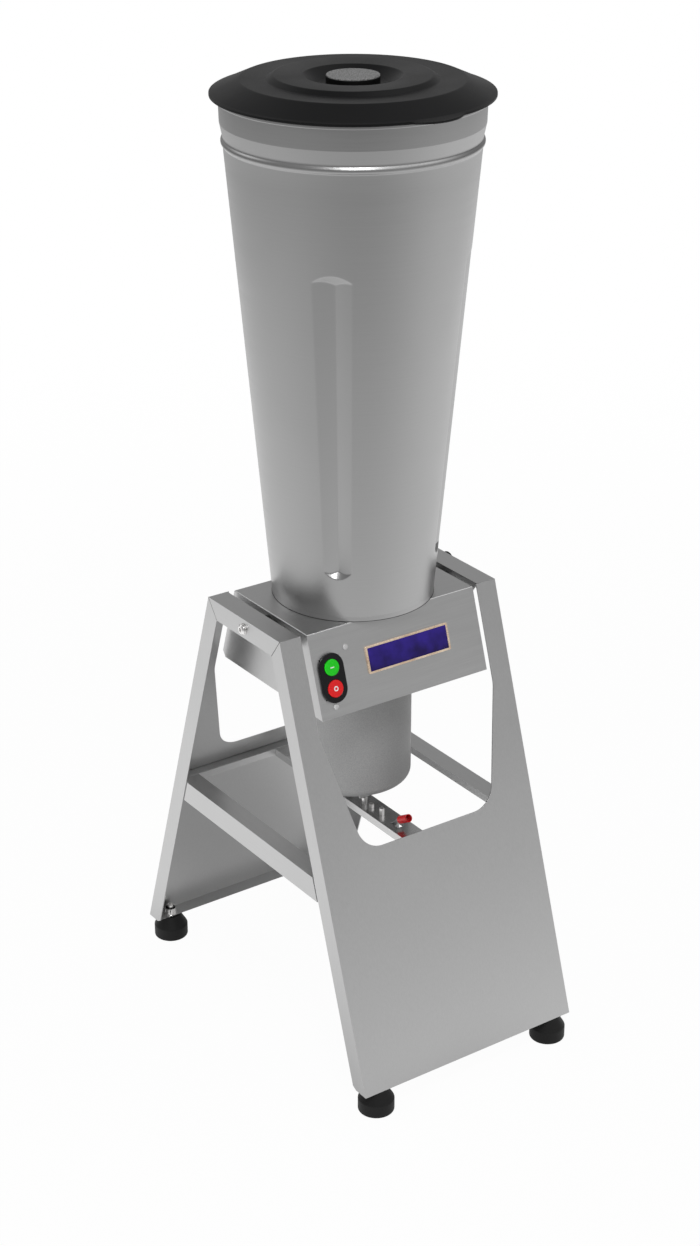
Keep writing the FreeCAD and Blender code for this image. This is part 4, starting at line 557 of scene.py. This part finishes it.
def railEnds(railName):
    # the rail's outer face, and where its slanting ends meet the top and the underside
    points = [vertex.co / mm for vertex in nodes[railName].data.vertices]
    outer = max((point.x for point in points), key=abs)
    face = [point for point in points if abs(point.x - outer) < seam["near"]]
    top, bottom = max(point.z for point in face), min(point.z for point in face)
    ends = []
    for way in (-1, 1):
        high = max((point.y for point in face if top - point.z < seam["near"]), key=lambda y: y * way)
        low = max((point.y for point in face if point.z - bottom < seam["near"]), key=lambda y: y * way)
        ends.append((high + way * seam["gap"], low + way * seam["gap"]))
    return outer, top, bottom, ends


def buildSeams():
    vertices, faces = [], []
    for railName in ("left_rail", "right_rail"):
        outer, top, bottom, ends = railEnds(railName)
        out = math.copysign(1, outer)
        for high, low in ends:
            start = len(vertices)
            for x in (outer - out * seam["depth"], outer + out * seam["raise"]):
                for y, z in ((high, top), (low, bottom)):
                    for side in (-0.5, 0.5):
                        vertices.append(Vector((x, y + side * seam["width"], z)) * mm)
            faces += [tuple(start + corner for corner in quad) for quad in boxSides]
    extra(outward(newPiece("railSeams", vertices, faces, materials["seamShadow"])), "left_rail")


buildSeams()


# Geometry trees

def treeWith(name, sizes):
    # an empty tree with a socket for the piece, for each of its sizes and for its finish
    tree = bpy.data.node_groups.new(name, "GeometryNodeTree")
    kinds = {label: "Int" if isinstance(value, int) else "Float" for label, value in sizes.items()}
    for label, kind in {"Base": "Geometry", **kinds, "Finish": "Material"}.items():
        tree.interface.new_socket(name=label, in_out="INPUT", socket_type="NodeSocket" + kind)
    tree.interface.new_socket(name="Result", in_out="OUTPUT", socket_type="NodeSocketGeometry")
    given = tree.nodes.new("NodeGroupInput").outputs
    return tree, given, tree.nodes.new("NodeGroupOutput").inputs["Result"]


def finished(tree, given, mesh, result):
    # the mesh made real, with its finish
    real = labelled(tree, "GeometryNodeRealizeInstances", Geometry=mesh)[0]
    coat = labelled(tree, "GeometryNodeSetMaterial", Geometry=real, Material=given["Finish"])[0]
    tree.links.new(coat, result)


def withTree(piece, tree, sizes, finish):
    # runs a tree on a piece and keeps the plain mesh
    modifier = piece.modifiers.new(tree.name, "NODES")
    modifier.node_group = tree
    values = {**sizes, "Finish": finish}
    for item in tree.interface.items_tree:
        if item.name in values:
            modifier[item.identifier] = values[item.name]
    return baked(piece)


def cylinder(tree, vertices, radius, depth):
    return labelled(
        tree, "GeometryNodeMeshCylinder", Vertices=vertices, Radius=radius, Depth=depth)["Mesh"]


def cone(tree, vertices, radius, topRadius, depth):
    return labelled(tree, "GeometryNodeMeshCone", Vertices=vertices, Radius_Bottom=radius,
                    Radius_Top=topRadius, Depth=depth)["Mesh"]


def raised(tree, mesh, height):
    lift = combined(tree, 0.0, 0.0, height)
    return labelled(tree, "GeometryNodeTransform", Geometry=mesh, Translation=lift)[0]


def bored(tree, mesh, tool):
    node = tree.nodes.new("GeometryNodeMeshBoolean")
    node.operation = "DIFFERENCE"
    tree.links.new(mesh, node.inputs["Mesh 1"])
    tree.links.new(tool, node.inputs["Mesh 2"])
    return node.outputs["Mesh"]


def common(tree, *meshes):
    node = tree.nodes.new("GeometryNodeMeshBoolean")
    node.operation = "INTERSECT"
    for mesh in meshes:
        tree.links.new(mesh, node.inputs["Mesh 2"])
    return node.outputs["Mesh"]


def joined(tree, *meshes):
    node = tree.nodes.new("GeometryNodeJoinGeometry")
    for mesh in meshes:
        tree.links.new(mesh, node.inputs[0])
    return node.outputs[0]


def repeated(tree, given, points, mesh, result):
    # one copy on each point
    copies = labelled(tree, "GeometryNodeInstanceOnPoints", Points=points, Instance=mesh)[0]
    finished(tree, given, copies, result)


# The jug, a conical sheet with four flutes, a bead and a rolled rim

jug = {
    # the outer wall from the foot to under the rim: radius, height, rounding
    "wall": [
        (100.2, 586.0, 0), (100.25, 586.6, 0), (148.65, 1136.5, 1.0), (151.0, 1139.2, 1.6),
        (151.0, 1142.8, 1.6), (149.0, 1145.5, 1.2), (149.1, 1147.6, 0.8), (152.3, 1163.3, 0.25),
        (152.95, 1186.6, 0)],
    # the rolled rim, over the top to the inside
    "rim": [
        (152.95, 1186.6, 0), (155.5, 1187.6, 0.8), (155.5, 1191.5, 1.4), (151.5, 1191.5, 0.8),
        (151.5, 1186.0, 0)],
    "thickness": 1.5, "sharpAngle": 50,
    # half the angle that a flute's close columns cover, and how many columns there are
    "fluteWindow": 11.5, "columnsByFlute": 62, "columnsBetween": 22,
    # where the plain rows begin and end, and how far close rows reach from a flute's ends
    "plainFrom": 590, "plainTo": 1130, "beyond": 3, "floorZone": 22, "roofZone": 26,
    # how many rows, from the foot up; the inner wall has a third of the close ones
    "footRows": 4, "floorRows": 40, "fluteRows": 40, "roofRows": 48, "upperRows": 6, "innerStep": 3,
}
flutes = {
    "Count": 4, "Phase": math.radians(45),
    "Floor Height": 636.5 * mm, "Floor Rise": 9.0 * mm, "Floor Arch": 8.5 * mm,
    "Foot Depth": 7.5 * mm, "Foot Half Width": 16.4 * mm,
    "Top Height": 1019.3 * mm, "Top Drop": 11.0 * mm, "Top Arch": 8.8 * mm,
    "Top Depth": 5.5 * mm, "Top Half Width": 23.5 * mm, "Crease Shift": 3.2 * mm,
    "Crease": 0.6 * mm, "Corner": 0.8 * mm, "Edge": 0.45 * mm,
}


def spread(low, high, count):
    return [low + (high - low) * step / count for step in range(count)]


def radiusAt(path, height):
    for (lowRadius, lowHeight), (highRadius, highHeight) in zip(path, path[1:]):
        if lowHeight <= height <= highHeight and highHeight > lowHeight:
            share = (height - lowHeight) / (highHeight - lowHeight)
            return lowRadius + share * (highRadius - lowRadius)
    return path[-1][0] if height > path[-1][1] else path[0][0]


def jugHeights(path, step):
    # close rows where a flute ends, and every bend above the plain wall
    low, high = flutes["Floor Height"] / mm, flutes["Top Height"] / mm
    beyond, floorZone, roofZone = jug["beyond"], low + jug["floorZone"], high - jug["roofZone"]
    rows = [corner[1] for corner in jug["wall"][:2]]
    rows += spread(jug["plainFrom"], low - beyond, jug["footRows"])
    rows += spread(low - beyond, floorZone, jug["floorRows"] // step)
    rows += spread(floorZone, roofZone, jug["fluteRows"] // step)
    rows += spread(roofZone, high + beyond, jug["roofRows"] // step)
    rows += spread(high + beyond, jug["plainTo"], jug["upperRows"])
    bends = [height for radius, height in path if height > jug["plainTo"]]
    return rows + (bends if step == 1 else bends[::step] + bends[-1:])


def fluteTree():
    # presses furrows into a shell of revolution, each between an arched top and a dished floor
    tree, given, result = treeWith("pressFlutes", flutes)

    def calc(operation, *values):
        return mathNode(
            tree, operation, *(given[value] if isinstance(value, str) else value for value in values))

    x, y, height = separated(tree, tree.nodes.new("GeometryNodeInputPosition").outputs[0])
    radius = calc("SQRT", calc("ADD", calc("MULTIPLY", x, x), calc("MULTIPLY", y, y)))
    halfPitch = calc("DIVIDE", math.pi, "Count")
    angle = calc("SUBTRACT", calc("ARCTAN2", y, x), "Phase")
    local = calc("WRAP", angle, halfPitch, calc("MULTIPLY", halfPitch, -1.0))
    sideways = calc("MULTIPLY", calc("SINE", local), radius)
    share = calc("DIVIDE", calc("SUBTRACT", height, "Floor Height"),
                 calc("SUBTRACT", "Top Height", "Floor Height"))
    deepening = calc("MULTIPLY", share, calc("SUBTRACT", "Top Depth", "Foot Depth"))
    depth = calc("ADD", "Foot Depth", deepening)
    widening = calc("MULTIPLY", share, calc("SUBTRACT", "Top Half Width", "Foot Half Width"))
    half = calc("ADD", "Foot Half Width", widening)
    # the crease leans sideways, so the face on that side is the narrower one
    shift = calc("MULTIPLY", share, "Crease Shift")
    fromCrease = calc("SUBTRACT", sideways, shift)
    face = calc("SUBTRACT", half, calc("MULTIPLY", shift, calc("SIGN", fromCrease)))
    rounded = calc("SQRT", calc("ADD", calc("MULTIPLY", fromCrease, fromCrease),
                                calc("MULTIPLY", "Crease", "Crease")))
    furrow = calc("MULTIPLY", depth, calc("SUBTRACT", 1.0, calc("DIVIDE", rounded, face)))
    across = calc("POWER", calc("ABSOLUTE", calc("DIVIDE", sideways, half)), 2.0)
    roof = calc("SUBTRACT", "Top Height", calc("MULTIPLY", across, "Top Arch"))
    under = calc("MULTIPLY", calc("SUBTRACT", roof, height), calc("DIVIDE", "Top Depth", "Top Drop"))
    bed = calc("ADD", "Floor Height", calc("MULTIPLY", across, "Floor Arch"))
    above = calc("MULTIPLY", calc("SUBTRACT", height, bed), calc("DIVIDE", "Foot Depth", "Floor Rise"))
    inside = calc("SMOOTH_MIN", calc("SMOOTH_MIN", furrow, under, "Corner"), above, "Corner")
    pressed = calc("SMOOTH_MAX", inside, 0.0, "Edge")
    inwards = calc("MULTIPLY", pressed, -1.0)
    offset = combined(tree, *(calc("MULTIPLY", calc("DIVIDE", side, radius), inwards) for side in (x, y)))
    moved = labelled(tree, "GeometryNodeSetPosition", Geometry=given["Base"], Offset=offset)[0]
    finished(tree, given, moved, result)
    return tree


def buildJug():
    path = roundedPath(jug["wall"])
    outer = [(radiusAt(path, height), height) for height in jugHeights(path, 1)]
    inner = [(radiusAt(path, height) - jug["thickness"], height)
             for height in jugHeights(path, jug["innerStep"])]
    profile = outer[:-1] + roundedPath(jug["rim"]) + inner[-2::-1]
    angles = []
    window = jug["fluteWindow"]
    pitch = 360 / flutes["Count"]
    for turn in range(flutes["Count"]):
        middle = math.degrees(flutes["Phase"]) + pitch * turn
        angles += spread(middle - window, middle + window, jug["columnsByFlute"])
        angles += spread(middle + window, middle + pitch - window, jug["columnsBetween"])
    finish = materials["jugSteel"]
    piece = spun("jugShell", profile, [math.radians(angle) for angle in angles], finish)
    withTree(piece, fluteTree(), flutes, finish)
    smooth(piece, jug["sharpAngle"])
    return standIn(piece, "jug_body")


buildJug()

# painted contact shadow: a thin dark ring under the jug's foot
footShadowLine = {"inner": 99.0, "outer": 100.45, "foot": 580.05, "height": 0.45, "columns": 160,
            "sharpAngle": 40}


def buildFootShadowLine():
    # a dark ring in the joint round the jug's foot: painted contact shadow where the jug stands on the
    # head
    low, high = footShadowLine["foot"], footShadowLine["foot"] + footShadowLine["height"]
    profile = [(footShadowLine["inner"], low), (footShadowLine["outer"], low), (footShadowLine["outer"], high),
               (footShadowLine["inner"], high)]
    piece = spun("jugFootShadowLine", profile, spread(0, 2 * math.pi, footShadowLine["columns"]),
                 materials["seamShadow"])
    smooth(piece, footShadowLine["sharpAngle"])
    extra(piece, "jug_base")


buildFootShadowLine()
print("jug shell ready")


# The lid, a moulded dish with softened ridges and a pull tab in front

lid = {
    "brimRadius": 163.2, "brimFoot": 1193.0, "brimEdge": 1195.5, "tabRadius": 52.4,
    "tabCentre": 121.6, "tabTop": 1195.0, "tabBottom": 1192.6, "tabBlend": 3, "tabBulge": 0.4,
    "columns": 288, "sharpAngle": 25,
    # the top, from the cap's hole outwards: radius, height, rounding
    "top": [
        (27.4, 1200.0, 0), (27.4, 1203.0, 0.5), (40.0, 1203.0, 1.5), (57.0, 1213.8, 1.2),
        (91.0, 1214.6, 1.6), (98.0, 1209.4, 1.6), (129.0, 1210.0, 1.2), (131.5, 1209.0, 1.5),
        (160.0, 1196.5, 0.6), (163.2, 1195.5, 0)],
    "under": [
        (163.2, 1193.0, 0), (157.0, 1193.0, 0), (157.0, 1191.8, 0), (149.0, 1191.8, 0.4),
        (149.0, 1179.0, 0.6), (146.0, 1179.0, 0.6), (146.0, 1196.5, 2), (130.5, 1206.0, 2),
        (97.0, 1206.4, 2), (90.0, 1211.6, 2), (58.5, 1210.8, 1.5), (41.5, 1200.0, 0)],
}


def tabReach(angle):
    # how far out the tab's disc reaches in this direction, from the lid's centre
    across, outwards = math.cos(angle), -math.sin(angle)
    if outwards <= 0:
        return 0.0
    middle = lid["tabCentre"] * outwards
    rest = lid["tabRadius"] ** 2 - (lid["tabCentre"] * across) ** 2
    return middle + math.sqrt(rest) if rest > 0 else 0.0


def buildLid():
    brim = lid["brimRadius"]
    topPath = roundedPath(lid["top"])
    underPath = roundedPath(lid["under"])
    edge = [(brim, lid["brimEdge"]), (brim, (lid["brimEdge"] + lid["brimFoot"]) / 2),
            (brim, lid["brimFoot"])]
    profile = topPath[:-1] + edge + underPath[1:]
    firstEdge = len(topPath) - 1

    def reshape(angle, index, radius, height):
        reach = tabReach(angle)
        if reach <= brim or index < firstEdge or index > firstEdge + 2:
            return radius, height
        share = min(1.0, (reach - brim) / lid["tabBlend"])
        middle = (lid["tabTop"] + lid["tabBottom"]) / 2
        flat = (lid["tabTop"], middle, lid["tabBottom"])[index - firstEdge]
        setBack = 0.0 if index == firstEdge + 1 else lid["tabBulge"]
        return reach - setBack, height + (flat - height) * share

    piece = spun("lidDish", profile, spread(0, 2 * math.pi, lid["columns"]),
                 materials["lidPlastic"], reshape)
    smooth(piece, lid["sharpAngle"])
    return standIn(piece, "lid")


buildLid()
print("lid ready")


# Fittings on the head's leaning front face

faceEdge = Vector((0, -81.4, 580.0))       # where the face meets the top
faceUp = Vector((0, math.sin(leanAngle), math.cos(leanAngle)))
faceOut = Vector((0, -math.cos(leanAngle), math.sin(leanAngle)))


def onFace(x, drop, out):
    return (faceEdge + Vector((x, 0, 0)) - faceUp * drop + faceOut * out) * mm


def roundedBox(halfWidth, halfHeight, corner, steps=6):
    # corner points of a rounded rectangle, anticlockwise
    points = []
    for turn, (signX, signY) in enumerate(((1, 1), (-1, 1), (-1, -1), (1, -1))):
        for step in range(steps + 1):
            angle = math.pi / 2 * (turn + step / steps)
            points.append((signX * (halfWidth - corner) + corner * math.cos(angle),
                           signY * (halfHeight - corner) + corner * math.sin(angle)))
    return points


def faceBand(name, layers, x, drop, material, host, closed=True):
    # layers: outlines with equal point counts and their height off the face; skinned in order
    vertices = []
    count = len(layers[0][0])
    for outline, out in layers:
        vertices += [onFace(x + across, drop - up, out) for across, up in outline]
    faces = []
    total = len(layers)
    for layer in range(total if closed else total - 1):
        after = (layer + 1) % total
        for index in range(count):
            following = (index + 1) % count
            faces.append((layer * count + index, layer * count + following,
                          after * count + following, after * count + index))
    if not closed:
        faces.append(tuple(range(count))[::-1])
        faces.append(tuple(range((total - 1) * count, total * count)))
    piece = newPiece(name, vertices, faces, material)
    smooth(outward(piece), meshing["bandAngle"])
    return extra(piece, host) if host else piece


plate = {
    "x": 13.9, "drop": 50.8, "halfWidth": 61.5, "halfHeight": 17.0, "corner": 2.0,
    "rim": 2.5, "rimHeight": 2.0, "fieldHeight": 1.2, "ease": 0.35, "easeBend": 0.3,
    "leastCorner": 0.3,
}


def plateOutline(inset):
    return roundedBox(plate["halfWidth"] - inset, plate["halfHeight"] - inset,
                      max(plate["corner"] - inset, plate["leastCorner"]))


def buildPlate():
    place = plate["x"], plate["drop"]
    rim, ease, high = plate["rim"], plate["ease"], plate["rimHeight"]
    inside = plateOutline(rim / 2)
    field = faceBand("plateField", [(inside, 0.0), (inside, plate["fieldHeight"])], *place,
                     materials["blueLacquer"], None, False)
    standIn(field, "nameplate")
    bend = ease * plate["easeBend"]
    # how far each line of the rim lies inside the outline, and how high
    lines = [(0, 0.0), (0, high - ease), (bend, high - bend), (ease, high), (rim - ease, high),
             (rim - bend, high - bend), (rim, high - ease), (rim, 0.0)]
    layers = [(plateOutline(inset), out) for inset, out in lines]
    faceBand("plateRim", layers, *place, materials["copperGold"], "nameplate")


marks = {
    "x": -99.7, "greenDrop": 45.4, "redDrop": 71.6, "buttonTop": 4.4, "stand": 0.15,
    "dashHalf": 2.8, "dashHeight": 0.6, "ringOuter": 3.1, "ringInner": 1.8, "points": 40,
    "sunk": 0.3, "dashRound": 0.95,
}


def circlePoints(radius):
    turns = [2 * math.pi * step / marks["points"] for step in range(marks["points"])]
    return [(radius * math.cos(turn), radius * math.sin(turn)) for turn in turns]


def buildMarks():
    low, high = marks["buttonTop"] - marks["sunk"], marks["buttonTop"] + marks["stand"]
    white = materials["markWhite"]
    dash = roundedBox(
        marks["dashHalf"], marks["dashHeight"], marks["dashHeight"] * marks["dashRound"], 4)
    faceBand("startMark", [(dash, low), (dash, high)], marks["x"], marks["greenDrop"],
             white, "green_button", False)
    outer, inner = circlePoints(marks["ringOuter"]), circlePoints(marks["ringInner"])
    faceBand("stopMark", [(outer, low), (outer, high), (inner, high), (inner, low)],
             marks["x"], marks["redDrop"], white, "red_button")


buildPlate()
buildMarks()
print("front fittings ready")


# Screws that come in sets

footSizes = {
    "Spacing X": 271.2 * mm, "Spacing Y": 487.6 * mm, "Seat Height": 34.1 * mm,
    "Stud Radius": 4.0 * mm, "Stud Foot": 18.6 * mm, "Stud Top": 46.6 * mm,
    "Socket Radius": 2.8 * mm, "Socket Depth": 5.0 * mm,
    "Nut Radius": 7.6 * mm, "Nut Height": 8.0 * mm, "Nut Chamfer": 8.6 * mm,
    "Nut Flat Share": 0.9,     # the nut's flat top, as a share of its radius
    "Bore Share": 1.02,        # the nut's bore, as a share of the stud's radius
    "Bore Reach": 3.0,         # how long the tool for the bore is, in heights of the nut
}
hubSizes = {
    "Circle": 40.0 * mm, "Head Radius": 5.0 * mm, "Head Height": 3.5 * mm, "Head Seat": 591.0 * mm,
    "Head Taper": 0.86, "Socket Radius": 2.6 * mm, "Socket Depth": 3.6 * mm,
    "Shank Radius": 3.0 * mm, "Nut Radius": 5.0 * mm, "Nut Height": 5.0 * mm, "Nut Foot": 573.5 * mm,
    "Count": 6, "Phase": math.radians(30),
}
sides = {"hexagon": 6, "stud": 32, "bore": 32, "nutTrim": 48, "head": 32, "shank": 24}


def stood(tree, vertices, radius, height, foot):
    # a cylinder with its lower end at this height
    half = mathNode(tree, "MULTIPLY", height, 0.5)
    return raised(tree, cylinder(tree, vertices, radius, height), mathNode(tree, "ADD", foot, half))


def fourCorners(tree, given):
    return labelled(tree, "GeometryNodeMeshGrid", Vertices_X=2, Vertices_Y=2,
                    Size_X=given["Spacing X"], Size_Y=given["Spacing Y"])["Mesh"]


def footStudTree():
    tree, given, result = treeWith("footStuds", footSizes)
    top, foot = given["Stud Top"], given["Stud Foot"]
    length = mathNode(tree, "SUBTRACT", top, foot)
    middle = mathNode(tree, "MULTIPLY", mathNode(tree, "ADD", top, foot), 0.5)
    stud = raised(tree, cylinder(tree, sides["stud"], given["Stud Radius"], length), middle)
    socket = cylinder(tree, sides["hexagon"], given["Socket Radius"], given["Socket Depth"])
    stud = bored(tree, stud, raised(tree, socket, top))
    repeated(tree, given, fourCorners(tree, given), stud, result)
    return tree


def footNutTree():
    # a hexagon trimmed by a cone, with the stud's bore
    tree, given, result = treeWith("footNuts", footSizes)
    seat, radius, height = given["Seat Height"], given["Nut Radius"], given["Nut Height"]
    flat = mathNode(tree, "MULTIPLY", radius, given["Nut Flat Share"])
    trim = raised(tree, cone(tree, sides["nutTrim"], given["Nut Chamfer"], flat, height), seat)
    nut = common(tree, stood(tree, sides["hexagon"], radius, height, seat), trim)
    boreRadius = mathNode(tree, "MULTIPLY", given["Stud Radius"], given["Bore Share"])
    middle = mathNode(tree, "ADD", seat, mathNode(tree, "MULTIPLY", height, 0.5))
    reach = mathNode(tree, "MULTIPLY", height, given["Bore Reach"])
    bore = raised(tree, cylinder(tree, sides["bore"], boreRadius, reach), middle)
    repeated(tree, given, fourCorners(tree, given), bored(tree, nut, bore), result)
    return tree


def hubScrewTree():
    # socket screws with their nuts, in a circle
    tree, given, result = treeWith("hubScrews", hubSizes)
    circle = labelled(
        tree, "GeometryNodeMeshCircle", Vertices=given["Count"], Radius=given["Circle"])[0]
    phase = combined(tree, 0.0, 0.0, given["Phase"])
    points = labelled(tree, "GeometryNodeTransform", Geometry=circle, Rotation=phase)[0]
    seat, nutFoot = given["Head Seat"], given["Nut Foot"]
    radius, height = given["Head Radius"], given["Head Height"]
    narrower = mathNode(tree, "MULTIPLY", radius, given["Head Taper"])
    socket = cylinder(tree, sides["hexagon"], given["Socket Radius"], given["Socket Depth"])
    socket = raised(tree, socket, mathNode(tree, "ADD", seat, height))
    head = raised(tree, cone(tree, sides["head"], radius, narrower, height), seat)
    head = bored(tree, head, socket)
    length = mathNode(tree, "SUBTRACT", seat, nutFoot)
    shank = stood(tree, sides["shank"], given["Shank Radius"], length, nutFoot)
    nut = stood(tree, sides["hexagon"], given["Nut Radius"], given["Nut Height"], nutFoot)
    repeated(tree, given, points, joined(tree, head, shank, nut), result)
    return tree


def screwSet(name, tree, sizes, replaced):
    finish = materials["brightSteel"]
    piece = withTree(newPiece(name, [(0, 0, 0)], [], finish), tree, sizes, finish)
    smooth(outward(piece), meshing["screwAngle"])
    return standIn(piece, replaced)


screwSet("footStudSet", footStudTree(), footSizes, "foot_studs")
screwSet("footNutSet", footNutTree(), footSizes, "foot_nuts")
screwSet("hubScrewSet", hubScrewTree(), hubSizes, "hub_screws")
print("screw sets ready")


# Camera, world and stage

view = {
    "place": (-1.5531, -2.2112, 1.7984), "azimuth": -35.01, "elevation": 25.115, "lens": 69.19,
    "sensor": 36.0, "farthest": 50,
}
azimuth, elevation = math.radians(view["azimuth"]), math.radians(view["elevation"])
looking = Vector((-math.sin(azimuth) * math.cos(elevation), math.cos(azimuth) * math.cos(elevation),
                  -math.sin(elevation)))
cameraData = bpy.data.cameras.new("photoCamera")
cameraData.lens = view["lens"]
cameraData.sensor_width = view["sensor"]
cameraData.clip_end = view["farthest"]
camera = bpy.data.objects.new("photoCamera", cameraData)
camera.rotation_mode = "QUATERNION"
camera.location = view["place"]
camera.rotation_quaternion = looking.to_track_quat("-Z", "Y")
bpy.context.scene.collection.objects.link(camera)
bpy.context.scene.camera = camera

light = {
    "seen": 1.0,            # what the camera sees behind the object
    "spreadLight": 0.6,     # level of the light that falls on dull surfaces
    "skyBase": 0.2,         # what metal reflects of the sky outside the lobes
    "lobes": [
        # direction that the light comes from, sharpness, strength
        ((0.5, 0.87, 0.25), 4.0, 0.22),
        ((-0.9, 0.2, 0.1), 6.0, 0.1),
        ((0.5, -0.87, 0.1), 3.0, 0.17),
        ((0.45, -0.4, 0.8), 10.0, 1.3),
        ((-0.42, 0.74, 0.52), 30.0, 1.5),
        ((-0.4, -0.6, 0.7), 2.0, 0.16),
    ],
}
pool = {
    # the pale floor as metal reflects it: a pool of light behind the object
    "centre": (0.95, 0.4, 0.0), "near": 1.3, "far": 5.9, "bright": 1.05, "dim": 0.3,
    "half": 8.0, "colour": (0.8, 0.8, 0.8), "roughness": 0.9,
    # how much white the camera sees in the floor, close to the object
    "cameraShare": 0.965, "cameraNear": 0.8, "cameraFar": 3.0,
    # the darker side of the room, in front and to the left
    "gloomCentre": (-1.0, -2.6, 0.0), "gloomNear": 0.2, "gloomFar": 3.6, "gloom": 0.7,
    # under the stand the floor lies in shade
    "shadeSize": (0.2, 0.33, 1.0), "shadeNear": 0.5, "shadeFar": 1.7, "shade": 0.4,
}


def whiteLight(tree, kind, strength):
    return labelled(tree, kind, Color=(1, 1, 1, 1), Strength=strength)[0]


def shinyRay(tree, path):
    # one for rays that left a metal or a glossy face, else zero
    return mathNode(tree, "ADD", path["Is Glossy Ray"], path["Is Transmission Ray"])


def buildWorld():
    world = bpy.data.worlds.new("softStudio")
    bpy.context.scene.world = world
    world.use_nodes = True
    tree = world.node_tree
    tree.nodes.clear()
    direction = whereIs(tree, "Generated")
    level = light["skyBase"]
    for source, sharpness, strength in light["lobes"]:
        facing = vectorMath(tree, "DOT_PRODUCT", direction, Vector(source).normalized())
        lobe = mathNode(tree, "POWER", mathNode(tree, "MAXIMUM", facing, 0.0), sharpness)
        level = mathNode(tree, "ADD", mathNode(tree, "MULTIPLY", lobe, strength), level)
    path = tree.nodes.new("ShaderNodeLightPath").outputs
    spreadLight, reflected, seen = (
        whiteLight(tree, "ShaderNodeBackground", strength)
        for strength in (light["spreadLight"], level, light["seen"]))
    lit = mixed(tree, shinyRay(tree, path), spreadLight, reflected)
    surface = mixed(tree, path["Is Camera Ray"], lit, seen)
    tree.links.new(surface, tree.nodes.new("ShaderNodeOutputWorld").inputs["Surface"])


buildWorld()

lamps = {
    "keyLamp": {"place": (-0.9, -1.5, 2.8), "aim": (0, 0, 0.9), "size": 0.8, "power": 22,
                "shines": True},
    # a fill that only dull surfaces show
    "fillLamp": {"place": (-2.6, -0.5, 0.45), "aim": (0, 0, 0.45), "size": 1.0, "power": 26,
                 "shines": False},
}
for lampName, settings in lamps.items():
    lampData = bpy.data.lights.new(lampName, "AREA")
    lampData.shape = "DISK"
    lampData.size = settings["size"]
    lampData.energy = settings["power"]
    lamp = bpy.data.objects.new(lampName, lampData)
    lamp.location = settings["place"]
    towards = Vector(settings["aim"]) - lamp.location
    lamp.rotation_mode = "QUATERNION"
    lamp.rotation_quaternion = towards.to_track_quat("-Z", "Y")
    lamp.visible_glossy = settings["shines"]
    bpy.context.scene.collection.objects.link(lamp)


def fade(tree, where, point, near, far, nearLevel, farLevel):
    # a level that changes smoothly with the distance from a point
    distance = vectorMath(tree, "DISTANCE", where, point)
    return mapRange(tree, distance, near, far, nearLevel, farLevel, "SMOOTHSTEP")


def buildFloor():
    corners = [(x * pool["half"], y * pool["half"], 0) for x, y in ((-1, -1), (1, -1), (1, 1), (-1, 1))]
    material, tree, shader = newMaterial("paleFloor")
    piece = newPiece("floor", corners, [(0, 1, 2, 3)], material)
    shader["Base Color"].default_value = (*pool["colour"], 1)
    shader["Roughness"].default_value = pool["roughness"]
    middle = (0, 0, 0)
    where = whereIs(tree)
    shrunk = vectorMath(tree, "DIVIDE", where, pool["shadeSize"])
    under = fade(tree, shrunk, middle, pool["shadeNear"], pool["shadeFar"], pool["shade"], 1.0)
    bright = fade(
        tree, where, pool["centre"], pool["near"], pool["far"], pool["bright"], pool["dim"])
    gloom = fade(
        tree, where, pool["gloomCentre"], pool["gloomNear"], pool["gloomFar"], pool["gloom"], 1.0)
    level = mathNode(tree, "MULTIPLY", mathNode(tree, "MULTIPLY", bright, gloom), under)
    path = tree.nodes.new("ShaderNodeLightPath").outputs
    dull = tree.nodes["Principled BSDF"].outputs[0]
    lit = mixed(tree, shinyRay(tree, path), dull, whiteLight(tree, "ShaderNodeEmission", level))
    # the camera sees nearly plain white, with a little real shadow close to the object
    share = fade(
        tree, where, middle, pool["cameraNear"], pool["cameraFar"], pool["cameraShare"], 1.0)
    whiteShare = mathNode(tree, "MULTIPLY", path["Is Camera Ray"], share)
    surface = mixed(tree, whiteShare, lit, whiteLight(tree, "ShaderNodeEmission", 1.0))
    tree.links.new(surface, tree.nodes["Material Output"].inputs["Surface"])


buildFloor()
bpy.context.scene.view_settings.view_transform = "Standard"
print("camera, lamps and floor ready")
